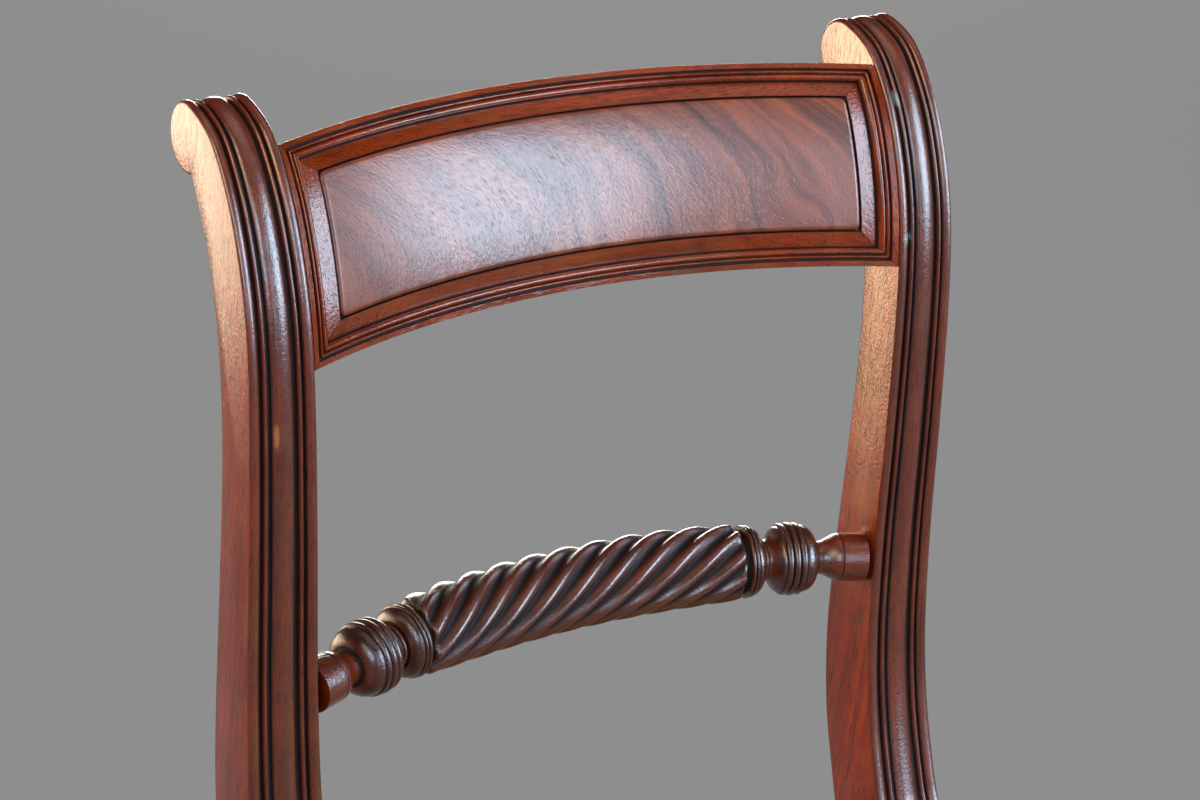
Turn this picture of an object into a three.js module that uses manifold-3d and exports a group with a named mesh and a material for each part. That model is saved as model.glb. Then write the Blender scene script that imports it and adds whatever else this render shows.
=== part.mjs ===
// A Regency mahogany dining chair: scrolled and reeded back posts in one with the rear sabre legs,
// a bowed tablet top rail with a raised panel, a bowed rope-carved cross rail and a drop-in seat.
// Lengths are in millimetres. +Z is up, the front faces -Y, and the origin is on the floor
// under the middle of the chair.
import * as THREE from 'three';
import { mergeVertices } from 'three/addons/utils/BufferGeometryUtils.js';
import Module from 'manifold-3d';

const wasm = await Module();
wasm.setup();

// Side view of the chair. Here y is 0 at the lower front edge of the tablet.
const railTop = 407; // floor to the top of the seat rails
const backHeight = 475.5; // seat rails to the top of the scrolls
const backSweep = 200; // knee joint back to the middle of the scroll
const kneeReach = 119; // knee joint in front of the tablet's lower edge
const kneeRadius = 70; // sweep from the seat rail up into the post
const kneeFillet = 36; // below the rail, where the rear leg starts
const scrollRadius = 18.7;
const rearLegRake = 121; // back of the knee to the back of the rear foot
const rearLegStart = 93; // knee joint to the back of the knee

// Widths across the chair
const scrollHalfWidth = 219; // middle of the chair to the outside of a scroll
const kneeHalfWidth = 222;
const frontHalfWidth = 240;
const scrollWidth = 34; // width of one post at its scroll
const kneeWidth = 44;
const rearFootWidth = 30;
const frontLegWidth = 40;
const frontFootWidth = 29;

// Seat rails and front legs
const seatLength = 306; // knee joint forward to the front of the front legs
const frontJointSetback = 73; // front leg's face back to its joint with the side rail
const railDepth = 58;
const crossRailThickness = 26; // front and back seat rails
const frontRailSetback = 12; // front rail behind the face of the front legs
const backRailSetback = 43; // knee joint to the front of the back rail
const frontKneeRadius = 37;
const frontLegSweep = 43;

// Reeding, worked along the whole side frame
const reedDepth = 3.2;

// Tablet top rail
const tabletDrop = 13.3; // top of the scrolls down to the top edge of the tablet
const tabletRise = 103.9; // its height, seen square from the front
const tabletBow = 38.5;
const tabletRecess = 1.5; // face behind the front of the posts
const tabletCoreThickness = 15;
const mouldingThickness = 5.5;
const mouldingWidth = 20;
const panelRise = 6.1; // panel face above the core
const panelRound = 3;

// Rope-carved cross rail
const ropeDrop = 179.5; // lower edge of the tablet down to the ends of its axis
const ropeInset = 11.7; // its ends behind the front of the posts
const ropeBow = 36;
const ropeRadius = 23.2;
const ropeStarts = 9; // strands round the rail
const ropeTurns = 1.15; // turns of a strand over the carved length
const ropeCut = 3.4; // depth of the grooves between the strands
const stubRadius = 13.8;
const stubLength = 17;
const ballRadius = 21;
const ringHeight = 1; // fine turned rings stand this far proud
const turnedLength = 75; // from the post to the black groove beside the carving

// Joints and fit
const fit = 0.3;
const tenonThickness = 10;
const tenonLength = 22;
const tenonShoulder = 9; // tenon in from the edges of its rail
const tabletTenonThickness = 8;
const tabletTenonShare = 0.42; // of the tablet's height
const tenonRoot = 3; // a tenon starts this far inside its rail
const ropeTenonRadius = 7;

// Drop-in seat and what it rests on
const ledgeDrop = 20; // seat ledge below the top of the rails
const ledgeWidth = 12;
const seatFrameThickness = 18;
const seatFrameWidth = 44;
const seatClearance = 1.3;
const bearerThickness = 12;
const bearerHeight = 18;
const blockLeg = 34;
const blockHeight = 34;
const webbingWidth = 50;
const webbingThickness = 1.3;
const webbingSetback = 12; // ends of the webbing in from the edge of the seat frame
const padRim = 15; // height of the pad at its edge
const padCrown = 26; // and how much higher its middle is
const padCorner = 16;
const padDrawIn = 5; // the sides pull in this far between the corners

// Screws of the corner blocks
const screwLength = 30;
const screwRadius = 2;
const screwHeadRadius = 4;
const screwHeadHeight = 3;
const screwShare = 0.42; // along a block's leg
const screwHeightShares = { post: 0.7, rail: 0.3 }; // down a block

// Shares of the back's sweep and height, from the knee joint: front of the post, bottom to top
const postFrontShares = [
  [0.4025, 0.174], [0.465, 0.275], [0.5075, 0.406], [0.5375, 0.553], [0.57, 0.6856],
  [0.6075, 0.7844], [0.659, 0.8549], [0.7375, 0.9211], [0.83, 0.9695], [0.905, 0.9905],
];
// Back of the post, top to bottom
const postBackShares = [
  [0.886, 0.8782], [0.8325, 0.837], [0.7825, 0.7781], [0.7425, 0.7066], [0.7175, 0.6162],
  [0.7025, 0.49], [0.69, 0.3533], [0.669, 0.2482], [0.6175, 0.1493], [0.5475, 0.0715],
];
// Shares of the rear leg's rake and of the height of the rails: back edge from the knee down
const rearLegBackShares = [
  [0.045, 1.007], [0, 0.92], [0.033, 0.823], [0.157, 0.651], [0.413, 0.405], [0.727, 0.16], [1, 0],
];
// Its front edge from the foot up
const rearLegFrontShares = [[0.7, 0], [0.43, 0.16], [0.1, 0.405], [-0.19, 0.651]];
// Shares of the front leg's sweep and of the height of the rails: front edge from the knee down
const frontLegFrontShares = [
  [0.163, 0.762], [0.326, 0.614], [0.372, 0.467], [0.256, 0.319], [-0.07, 0.16], [-0.63, 0],
];
// Its back edge from the foot up
const frontLegBackShares = [[0.093, 0], [0.651, 0.16], [1.023, 0.319], [1.186, 0.467], [1.163, 0.614]];

// Half of the reeding's profile: share of the width from the outer edge, share of the reed depth
const halfReedShares = [
  [0, 0.45], [0.05, 0.04], [0.135, 0.25], [0.18, 1], [0.215, 0.25], [0.262, 0.22], [0.305, 1],
  [0.345, 0.5], [0.41, 0.12], [0.5, 0],
];
const reedShares = [
  ...halfReedShares,
  ...halfReedShares.slice(0, -1).reverse().map(([across, depth]) => [1 - across, depth]),
];

// Moulding round the tablet: share of its width from the outer edge, share of its thickness
const mouldingShares = [
  [0, 1], [0.16, 1], [0.17, 0.66], [0.23, 0.66], [0.25, 0.98], [0.29, 1.1], [0.33, 0.98], [0.35, 0.7],
  [0.38, 1.02], [0.45, 1.14], [0.5, 1.02], [0.535, 0.5], [1, 0.93],
];

// Turned ends of the rope rail: share of the turned length from the post, share of the ball's radius
const turnedShares = [
  [0.245, 0.61], [0.29, 0.55], [0.34, 0.475], [0.385, 0.45], [0.42, 0.48], [0.455, 0.7], [0.5, 0.87],
];
const ballRingShares = [0.55, 0.61, 0.67];
const innerTurnedShares = [
  [0.74, 0.84], [0.78, 0.66], [0.81, 0.54], [0.84, 0.57], [0.88, 0.8], [0.915, 0.95],
];
const domeRingShares = [0.935, 0.972];

// Mesh fineness
const postSteps = 19;
const scrollSteps = 10;
const edgeSteps = 16;
const legSteps = 10;
const kneeSteps = 5;
const smoothSteps = 160;
const bowSteps = 18;
const faceSteps = 10;
const sidesPerStrand = 4;
const turnedSides = 18;
const ropeSteps = 25;
const padSteps = 20;
const roundSides = 12;

// Places that follow from the sizes
const jointY = -kneeReach;
const frontY = jointY - seatLength;
const frontJointY = frontY + frontJointSetback;
const underRail = railTop - railDepth;
const ledgeZ = railTop - ledgeDrop;
const scrollCentre = new THREE.Vector2(jointY + backSweep, railTop + backHeight - scrollRadius);
const backRailFront = jointY + backRailSetback;
const frontRailBack = frontY + frontRailSetback + crossRailThickness;

const mix = THREE.MathUtils.lerp;
const clamp = THREE.MathUtils.clamp;

// Solids and geometries

// Turns a list of points and triangles into a manifold with its faces pointing out.
function solidFromMesh(points, triangles) {
  let volume = 0;
  for (const [a, b, c] of triangles) {
    volume += points[a].dot(new THREE.Vector3().crossVectors(points[b], points[c]));
  }
  const turned = volume < 0 ? triangles.map(([a, b, c]) => [a, c, b]) : triangles;
  return new wasm.Manifold(new wasm.Mesh({
    numProp: 3,
    vertProperties: new Float32Array(points.flatMap((point) => point.toArray())),
    triVerts: new Uint32Array(turned.flat()),
  }));
}

// Turns a closed three.js geometry into a manifold.
function solidFromGeometry(geometry) {
  const bare = geometry.clone();
  bare.deleteAttribute('normal');
  bare.deleteAttribute('uv');
  const merged = mergeVertices(bare);
  return new wasm.Manifold(new wasm.Mesh({
    numProp: 3,
    vertProperties: new Float32Array(merged.attributes.position.array),
    triVerts: new Uint32Array(merged.index.array),
  }));
}

function geometryFromSolid(solid) {
  const mesh = solid.getMesh();
  const geometry = new THREE.BufferGeometry();
  geometry.setAttribute('position', new THREE.BufferAttribute(mesh.vertProperties, mesh.numProp));
  geometry.setIndex(new THREE.BufferAttribute(mesh.triVerts, 1));
  geometry.computeVertexNormals();
  return geometry;
}

// A box between two corners.
function block(low, high) {
  const size = high.clone().sub(low);
  const geometry = new THREE.BoxGeometry(size.x, size.y, size.z);
  const middle = low.clone().add(high).multiplyScalar(0.5);
  return solidFromGeometry(geometry.translate(middle.x, middle.y, middle.z));
}

// A flat outline in plan, given as [x, y] points, raised between two heights.
function slab(outline, low, high) {
  const shape = new THREE.Shape(outline.map(([x, y]) => new THREE.Vector2(x, y)));
  const geometry = new THREE.ExtrudeGeometry(shape, { depth: high - low, bevelEnabled: false });
  return solidFromGeometry(geometry.translate(0, 0, low));
}

// A round bar or hole from a point along a direction.
function rod(start, direction, length, radius) {
  const geometry = new THREE.CylinderGeometry(radius, radius, length, roundSides);
  geometry.translate(0, length / 2, 0);
  const turn = new THREE.Quaternion().setFromUnitVectors(new THREE.Vector3(0, 1, 0), direction);
  geometry.applyQuaternion(turn).translate(start.x, start.y, start.z);
  return solidFromGeometry(geometry);
}

// Joins two rows of point numbers with triangles. Rows of unlike length are joined by two fans.
function stitchRows(rowA, rowB, triangles) {
  if (rowA.length === rowB.length) {
    for (let j = 0; j + 1 < rowA.length; j += 1) {
      triangles.push([rowA[j], rowB[j], rowB[j + 1]], [rowA[j], rowB[j + 1], rowA[j + 1]]);
    }
    return;
  }
  const long = rowA.length > rowB.length ? rowA : rowB;
  const short = rowA.length > rowB.length ? rowB : rowA;
  const middle = Math.floor(long.length / 2);
  const fans = [];
  for (let j = 0; j + 1 < long.length; j += 1) {
    fans.push([long[j], short[j < middle ? 0 : 1], long[j + 1]]);
  }
  fans.push([long[middle], short[0], short[1]]);
  triangles.push(...(long === rowA ? fans : fans.map(([a, b, c]) => [a, c, b])));
}

// A ring of points seen square on, so that it runs anticlockwise.
function ringPlan(points, ring) {
  const normal = new THREE.Vector3();
  ring.forEach((index, i) => {
    normal.add(new THREE.Vector3().crossVectors(points[index], points[ring[(i + 1) % ring.length]]));
  });
  const turn = new THREE.Quaternion().setFromUnitVectors(normal.normalize(), new THREE.Vector3(0, 0, 1));
  return ring.map((index) => {
    const seen = points[index].clone().applyQuaternion(turn);
    return new THREE.Vector2(seen.x, seen.y);
  });
}

// Closes a ring of point numbers with triangles that run along it or against it.
function capRing(points, ring, alongRing, triangles) {
  const plan = ringPlan(points, ring);
  for (const [a, b, c] of THREE.ShapeUtils.triangulateShape(plan, [])) {
    const follows = THREE.ShapeUtils.area([plan[a], plan[b], plan[c]]) > 0;
    triangles.push(follows === alongRing ? [ring[a], ring[b], ring[c]] : [ring[a], ring[c], ring[b]]);
  }
}

// Sweeps a closed section through stations. `place` turns a station and a section point into space.
function sweepSolid(section, stations, place) {
  const points = [];
  const triangles = [];
  const rings = stations.map((station) => section.map((point) => points.push(place(station, point)) - 1));
  for (let i = 0; i + 1 < rings.length; i += 1) {
    stitchRows([...rings[i], rings[i][0]], [...rings[i + 1], rings[i + 1][0]], triangles);
  }
  capRing(points, rings[0], true, triangles);
  capRing(points, rings[rings.length - 1], false, triangles);
  return solidFromMesh(points, triangles);
}

function evenShares(count) {
  return Array.from({ length: count + 1 }, (_, i) => i / count);
}

// Side outlines, as points whose x is the chair's y and whose y is the chair's z

// Points on a spline between two of its knots.
function splineBetween(knots, first, last, steps) {
  const curve = new THREE.SplineCurve(knots);
  return evenShares(steps).map((share) => curve.getPoint(mix(first, last, share) / (knots.length - 1)));
}

function arcPoints(centre, radius, startDegrees, endDegrees, steps) {
  return evenShares(steps).map((share) => {
    const angle = THREE.MathUtils.degToRad(mix(startDegrees, endDegrees, share));
    return new THREE.Vector2(centre.x + radius * Math.cos(angle), centre.y + radius * Math.sin(angle));
  });
}

function backPoint([sweepShare, heightShare]) {
  return new THREE.Vector2(jointY + sweepShare * backSweep, railTop + heightShare * backHeight);
}

function rearLegPoint([rakeShare, heightShare]) {
  return new THREE.Vector2(jointY + rearLegStart + rakeShare * rearLegRake, heightShare * railTop);
}

function frontLegPoint([sweepShare, heightShare]) {
  return new THREE.Vector2(frontY + sweepShare * frontLegSweep, heightShare * railTop);
}

const kneeEndDegrees = -27;
const scrollEndDegrees = -115;

// Front of the post from the knee joint to the top of the scroll.
function postFrontOutline(steps) {
  const kneeCentre = new THREE.Vector2(jointY, railTop + kneeRadius);
  const knee = arcPoints(kneeCentre, kneeRadius, -90, kneeEndDegrees, kneeSteps);
  const scrollTop = arcPoints(scrollCentre, scrollRadius, 90, 60, 1);
  const knots = [knee[kneeSteps - 1], knee[kneeSteps], ...postFrontShares.map(backPoint), ...scrollTop];
  return [...knee.slice(0, -1), ...splineBetween(knots, 1, knots.length - 2, steps)];
}

// Back of the chair's side from the notch under the scroll to the foot.
function postBackOutline(notch) {
  const knots = [notch, ...postBackShares.map(backPoint), ...rearLegBackShares.map(rearLegPoint)];
  return splineBetween(knots, 0, knots.length - 1, edgeSteps + legSteps).slice(1);
}

// A leg's inner edge from the foot up into the underside of the rail.
function legInnerEdge(footKnots, jointPlaneY, towards) {
  const knots = [
    ...footKnots,
    new THREE.Vector2(mix(jointPlaneY, jointPlaneY + towards, 0.95), underRail - kneeFillet * 0.6),
    new THREE.Vector2(mix(jointPlaneY, jointPlaneY + towards, 0.6), underRail - kneeFillet * 0.16),
    new THREE.Vector2(jointPlaneY, underRail),
  ];
  return splineBetween(knots, 0, knots.length - 1, legSteps);
}

// The whole side outline of a post with its rear leg, and how many leading points are reeded.
function postOutline() {
  const front = postFrontOutline(postSteps);
  const scroll = arcPoints(scrollCentre, scrollRadius, 90, scrollEndDegrees, scrollSteps).slice(1);
  const back = postBackOutline(scroll[scroll.length - 1]);
  const legFront = legInnerEdge(rearLegFrontShares.map(rearLegPoint), jointY, kneeFillet * 1.4);
  return { outline: [...front, ...scroll, ...back, ...legFront], reeded: front.length + scroll.length };
}

// The side outline of a front leg.
function frontLegOutline() {
  const kneeCentre = new THREE.Vector2(frontY + frontKneeRadius, railTop - frontKneeRadius);
  const knee = arcPoints(kneeCentre, frontKneeRadius, 90, 180, kneeSteps);
  const knots = [knee[kneeSteps - 1], knee[kneeSteps], ...frontLegFrontShares.map(frontLegPoint)];
  const shin = splineBetween(knots, 1, knots.length - 1, legSteps);
  const front = [new THREE.Vector2(frontJointY, railTop), ...knee.slice(0, -1), ...shin];
  const back = legInnerEdge(frontLegBackShares.map(frontLegPoint), frontJointY, -kneeFillet * 0.65);
  return { outline: [...front, ...back], reeded: front.length };
}

// Widths. Each gives the x of a place on the right-hand piece, from the share across: 0 outside, 1 inside.

function postX(across, z) {
  const kneeTop = railTop + kneeFillet;
  const kneeLow = underRail - kneeFillet;
  const rise = clamp((z - kneeTop) / (railTop + backHeight - kneeTop), 0, 1);
  const fall = clamp((kneeLow - z) / kneeLow, 0, 1);
  const outer = mix(kneeHalfWidth, scrollHalfWidth, rise);
  const width = mix(mix(kneeWidth, scrollWidth, rise), rearFootWidth, fall);
  return outer - across * width;
}

function frontLegX(across, z) {
  const fall = clamp((underRail - kneeFillet - z) / (underRail - kneeFillet), 0, 1);
  return frontHalfWidth - across * mix(frontLegWidth, frontFootWidth, fall);
}

function sideRailX(across, y) {
  const share = (y - jointY) / (frontJointY - jointY);
  const outer = mix(kneeHalfWidth, frontHalfWidth, share);
  return outer - across * mix(kneeWidth, frontLegWidth, share);
}

// Unit normals of a side outline, pointing out of the wood.
function outlineNormals(outline, reeded) {
  const sign = THREE.ShapeUtils.isClockWise(outline) ? 1 : -1;
  return outline.map((point, i) => {
    const before = i === 0 ? point : outline[i - 1];
    const after = i === reeded - 1 ? point : outline[(i + 1) % outline.length];
    const along = after.clone().sub(before).normalize();
    return new THREE.Vector2(-along.y * sign, along.x * sign);
  });
}

// A plank cut to a side outline, reeded along its leading points. `xAt` gives x from across, y and z.
function reededPlank({ outline, reeded }, xAt, fadeEnds) {
  const normals = outlineNormals(outline, reeded);
  const points = [];
  const rows = outline.map((point, i) => {
    const profile = i < reeded ? reedShares : [[0, 0], [1, 0]];
    const faded = fadeEnds && i === reeded - 1 ? 0 : reedDepth;
    return profile.map(([across, depth]) => {
      const y = point.x - normals[i].x * depth * faded;
      const z = Math.max(point.y - normals[i].y * depth * faded, 0);
      return points.push(new THREE.Vector3(xAt(across, y, z), y, z)) - 1;
    });
  });
  const triangles = [];
  rows.forEach((row, i) => stitchRows(row, rows[(i + 1) % rows.length], triangles));
  capRing(points, rows.map((row) => row[0]), false, triangles);
  capRing(points, rows.map((row) => row.at(-1)), true, triangles);
  return solidFromMesh(points, triangles);
}

// Seat rail joinery. Each tenon has a mortise grown by the fit.

// A tenon along y, centred on the side rail at a joint plane.
function sideRailTenon(planeY, grow) {
  const middle = sideRailX(0.5, planeY);
  const half = tenonThickness / 2 + grow;
  const reach = tenonLength + grow;
  return block(
    new THREE.Vector3(middle - half, planeY - reach, underRail + tenonShoulder - grow),
    new THREE.Vector3(middle + half, planeY + reach, ledgeZ - tenonShoulder / 2 + grow),
  );
}

// A tenon along x on the right-hand end of a front or back rail.
function crossRailTenon(faceX, middleY, grow) {
  const half = tenonThickness / 2 + grow;
  return block(
    new THREE.Vector3(faceX - tenonShoulder, middleY - half, underRail + tenonShoulder - grow),
    new THREE.Vector3(faceX + tenonLength + grow, middleY + half, ledgeZ - tenonShoulder / 2 + grow),
  );
}

const backRailMiddle = backRailFront + crossRailThickness / 2;
const frontRailMiddle = frontRailBack - crossRailThickness / 2;
const kneeInnerX = kneeHalfWidth - kneeWidth;
const frontInnerX = frontHalfWidth - frontLegWidth;

// Tablet

const tabletHighZ = railTop + backHeight - tabletDrop;
const tabletLowZ = tabletHighZ - tabletRise;

const smoothFront = postFrontOutline(smoothSteps);

// How far back the front of the post lies at a height.
function postFrontY(z) {
  const next = smoothFront.findIndex((point) => point.y >= z);
  const [low, high] = [smoothFront[next - 1], smoothFront[next]];
  return mix(low.x, high.x, (z - low.y) / (high.y - low.y));
}

// The post's front between the tablet's edges, as a curve measured by length.
function tabletFaceCurve() {
  const heights = evenShares(bowSteps).map((share) => mix(tabletLowZ, tabletHighZ, share));
  return new THREE.SplineCurve(heights.map((z) => new THREE.Vector2(postFrontY(z), z)));
}

const faceCurve = tabletFaceCurve();
const tabletHeight = faceCurve.getLength();

// How far back a bowed rail lies at x, for a layer that is `depth` behind its face.
function bowBack(x, half, bow, depth) {
  const radius = (half * half + bow * bow) / (2 * bow);
  return Math.sqrt((radius + depth) ** 2 - x * x) - (radius - bow);
}

// x of the inside of the post, less a gap, at a height above the knee.
function innerX(z, gap) {
  return postX(1, z) - gap;
}

// A point of the tablet: x, length up its face, and depth behind the front of the posts.
function tabletPoint(x, up, depth) {
  const share = clamp(up / tabletHeight, 0, 1);
  const point = faceCurve.getPointAt(share);
  const along = faceCurve.getTangentAt(share);
  const half = innerX(tabletLowZ, 0);
  const bow = bowBack(x, half, tabletBow, 0);
  const behind = bowBack(x, half, tabletBow, depth) - bow;
  return new THREE.Vector3(x, point.x + bow + behind * along.y, point.y - behind * along.x);
}

function tabletZ(up) {
  return faceCurve.getPointAt(clamp(up / tabletHeight, 0, 1)).y;
}

const coreDepth = tabletRecess + mouldingThickness + fit;

// Half length of the tablet at a height up its face.
function tabletHalf(up) {
  return innerX(tabletZ(up), fit);
}

// The bowed core, without its tenons.
function tabletCoreBody() {
  const ups = evenShares(faceSteps).map((share) => share * tabletHeight);
  const section = [
    ...ups.map((up) => [up, coreDepth]),
    ...ups.reverse().map((up) => [up, coreDepth + tabletCoreThickness]),
  ];
  const stations = evenShares(bowSteps).map((share) => share * 2 - 1);
  const place = (side, [up, depth]) => tabletPoint(side * tabletHalf(up), up, depth);
  return sweepSolid(section, stations, place);
}

// The tenon at the right-hand end of the tablet, leaning with its middle.
function tabletTenon(grow) {
  const middle = tabletHeight / 2;
  const reach = tenonLength + grow;
  const height = tabletHeight * tabletTenonShare + grow * 2;
  const geometry = new THREE.BoxGeometry(reach + tenonRoot, tabletTenonThickness + grow * 2, height);
  const lean = faceCurve.getTangentAt(0.5);
  geometry.rotateX(-Math.atan2(lean.x, lean.y));
  const place = tabletPoint(tabletHalf(middle), middle, coreDepth + tabletCoreThickness / 2);
  geometry.translate(place.x + (reach - tenonRoot) / 2, place.y, place.z);
  return solidFromGeometry(geometry);
}

// Section of the moulding, as distance from the outer edge and depth.
const mouldingSection = [
  ...mouldingShares.map(([across, rise]) => [
    across * mouldingWidth,
    tabletRecess + mouldingThickness * (1 - rise),
  ]),
  ...evenShares(3).reverse().map((share) => [share * mouldingWidth, tabletRecess + mouldingThickness]),
];

// The moulding along the lower or upper edge, mitred at both ends.
function longMoulding(isTop) {
  const stations = evenShares(bowSteps).map((share) => share * 2 - 1);
  return sweepSolid(mouldingSection, stations, (side, [inward, depth]) => {
    const up = isTop ? tabletHeight - inward : inward;
    return tabletPoint(side * (tabletHalf(up) - inward - fit / 2), up, depth);
  });
}

// The moulding along one end, mitred to the long ones.
function endMoulding(side) {
  const stations = evenShares(faceSteps);
  return sweepSolid(mouldingSection, stations, (share, [inward, depth]) => {
    const up = mix(inward + fit / 2, tabletHeight - inward - fit / 2, share);
    return tabletPoint(side * (tabletHalf(up) - inward), up, depth);
  });
}

// The raised panel, rounded down at its edges.
function tabletPanel() {
  const border = mouldingWidth + fit;
  const rounds = [0, panelRound * 0.4, panelRound];
  const low = border;
  const high = tabletHeight - border;
  const between = evenShares(faceSteps).slice(1, -1);
  const inner = between.map((share) => mix(low + panelRound, high - panelRound, share));
  const ups = [...rounds.map((r) => low + r), ...inner, ...rounds.map((r) => high - r).reverse()];
  const back = coreDepth - fit;
  const drop = (distance) => panelRound * 0.4 * (1 - Math.min(distance / panelRound, 1)) ** 2;
  const front = (up) => back - panelRise + drop(Math.min(up - low, high - up));
  const behind = [low, ...inner, high].reverse().map((up) => [up, back]);
  const section = [...ups.map((up) => [up, front(up)]), ...behind];
  const half = tabletHalf(tabletHeight / 2) - border;
  const ends = [0, panelRound].map((r) => -1 + r / half);
  const middle = evenShares(bowSteps).slice(1, -1).map((share) => share * 2 - 1);
  const stations = [...ends, ...middle, ...ends.map((end) => -end).reverse()];
  return sweepSolid(section, stations, (side, [up, depth]) => {
    const edge = drop((1 - Math.abs(side)) * half);
    const level = depth < back ? Math.min(depth + edge, back - fit) : depth;
    return tabletPoint(side * (tabletHalf(up) - border), up, level);
  });
}

// Rope-carved cross rail

const ropeZ = tabletLowZ - ropeDrop;
const ropeY = postFrontY(ropeZ) + ropeInset;
const ropeHalf = innerX(ropeZ, 0);
const ropeArcRadius = (ropeHalf * ropeHalf + ropeBow * ropeBow) / (2 * ropeBow);
const ropeArcAngle = Math.asin(ropeHalf / ropeArcRadius);
const ropeArcLength = 2 * ropeArcRadius * ropeArcAngle;
const grooveRadius = ballRadius - ringHeight * 2.6;
const carvedStart = turnedLength + ringHeight * 3;

// The rail's axis by length from its middle, straight on past its ends.
function ropeAxis(along) {
  const half = ropeArcLength / 2;
  const inside = clamp(along, -half, half);
  const angle = inside / ropeArcRadius;
  const direction = new THREE.Vector3(Math.cos(angle), -Math.sin(angle), 0);
  const point = new THREE.Vector3(
    ropeArcRadius * Math.sin(angle),
    ropeY + ropeBow - ropeArcRadius * (1 - Math.cos(angle)),
    ropeZ,
  );
  return { point: point.addScaledVector(direction, along - inside), direction };
}

// The turned end of the rail, as [length from the post, radius].
function turnedProfile() {
  const turned = ([share, radius]) => [share * turnedLength, radius * ballRadius];
  const rings = (shares, radius) => {
    const width = turnedLength * 0.02;
    const ridges = shares.flatMap((share) => [
      [share * turnedLength, radius + ringHeight],
      [share * turnedLength + width, radius],
    ]);
    return [[shares[0] * turnedLength - width, radius], ...ridges];
  };
  return [
    [-tenonShoulder, stubRadius],
    [stubLength, stubRadius],
    ...turnedShares.map(turned),
    ...rings(ballRingShares, ballRadius - ringHeight),
    ...innerTurnedShares.map(turned),
    ...rings(domeRingShares, ballRadius - ringHeight / 2),
    [turnedLength + ringHeight * 0.4, grooveRadius],
    [carvedStart + ringHeight, grooveRadius],
  ];
}

// Depth of the carving round the rail, 0 on a strand's crest and 1 in a groove.
function strandDepth(corner) {
  const share = (corner % sidesPerStrand) / sidesPerStrand;
  return Math.abs(Math.cos(Math.PI * share)) ** 3;
}

// The swelling of the carved part, 0 at its ends and 1 at its middle.
function swell(share) {
  return 1 - (2 * share - 1) ** 4;
}

// A bar along the rail's axis. Stations are [length from the middle, radius, share carved, twist].
function axisBar(section, stations) {
  const up = new THREE.Vector3(0, 0, 1);
  return sweepSolid(section, stations, ([along, radius, carved, twist], [, , angle, depth]) => {
    const { point, direction } = ropeAxis(along);
    const across = new THREE.Vector3().crossVectors(up, direction);
    const reach = radius - carved * depth * ropeCut;
    const place = point.clone().addScaledVector(up, reach * Math.cos(angle + twist));
    return place.addScaledVector(across, reach * Math.sin(angle + twist));
  });
}

// A round section as [x, y, angle, depth of carving] for axisBar.
function roundSection(sides, depthAt) {
  return Array.from({ length: sides }, (_, corner) => {
    const angle = (corner / sides) * Math.PI * 2;
    return [Math.cos(angle), Math.sin(angle), angle, depthAt(corner)];
  });
}

// The carved middle of the rail, with its strands cut shallow at both ends.
function ropeCarving() {
  const half = ropeArcLength / 2 - carvedStart;
  const turn = ropeTurns * Math.PI * 2;
  const stations = evenShares(ropeSteps).map((share) => [
    mix(-half, half, share),
    mix(ballRadius, ropeRadius, swell(share)),
    share === 0 || share === 1 ? 0.3 : 1,
    share * turn,
  ]);
  return axisBar(roundSection(ropeStarts * sidesPerStrand, strandDepth), stations);
}

// The turned end of the rail at the right.
function ropeTurning() {
  const stations = turnedProfile().map(([length, radius]) => [ropeArcLength / 2 - length, radius, 0, 0]);
  return axisBar(roundSection(turnedSides, () => 0), stations);
}

// The round tenon at the right-hand end, which goes straight into the post.
function ropeTenon(grow) {
  const start = ropeAxis(ropeArcLength / 2 - tenonRoot).point;
  return rod(start, new THREE.Vector3(1, 0, 0), tenonRoot + tenonLength + grow, ropeTenonRadius + grow);
}

// The space between the posts, less a gap at each side, from the knee to the scrolls.
function betweenPosts(gap) {
  const low = railTop + kneeFillet;
  const high = railTop + backHeight;
  const outline = new THREE.Shape([
    new THREE.Vector2(-innerX(low, gap), low),
    new THREE.Vector2(innerX(low, gap), low),
    new THREE.Vector2(innerX(high, gap), high),
    new THREE.Vector2(-innerX(high, gap), high),
  ]);
  const geometry = new THREE.ExtrudeGeometry(outline, { depth: backSweep * 2, bevelEnabled: false });
  return solidFromGeometry(geometry.rotateX(Math.PI / 2).translate(0, backSweep, 0));
}

function mirrored(solid) {
  return solid.mirror([1, 0, 0]);
}

function ropeRail() {
  const end = ropeTurning().intersect(betweenPosts(fit)).add(ropeTenon(0));
  return ropeCarving().add(end).add(mirrored(end));
}

// Seat

// Half width of the space for the seat at a place along the chair.
function seatHalfWidth(y) {
  return sideRailX(1, clamp(y, frontJointY, jointY)) - seatClearance;
}

const seatBack = backRailFront + ledgeWidth - seatClearance;
const seatFront = frontRailBack - ledgeWidth + seatClearance;
const seatFrameTop = ledgeZ + seatFrameThickness;

// Plan outline of one side member of the seat frame, on the right.
function seatSidePlan() {
  const stops = [seatBack, jointY, frontJointY, seatFront];
  const outside = stops.map((y) => [seatHalfWidth(y), y]);
  const inside = stops.map((y) => [seatHalfWidth(y) - seatFrameWidth, y]).reverse();
  return [...outside, ...inside];
}

// An end member of the seat frame, between the side members, with stub tenons into them.
function seatEndMember(edgeY, inward) {
  const innerEdge = edgeY + inward * seatFrameWidth;
  const half = Math.min(seatHalfWidth(edgeY), seatHalfWidth(innerEdge)) - seatFrameWidth - fit;
  const [low, high] = [Math.min(edgeY, innerEdge), Math.max(edgeY, innerEdge)];
  const body = block(new THREE.Vector3(-half, low, ledgeZ), new THREE.Vector3(half, high, seatFrameTop));
  return body.add(seatEndTenon(edgeY, inward, 0));
}

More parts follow.
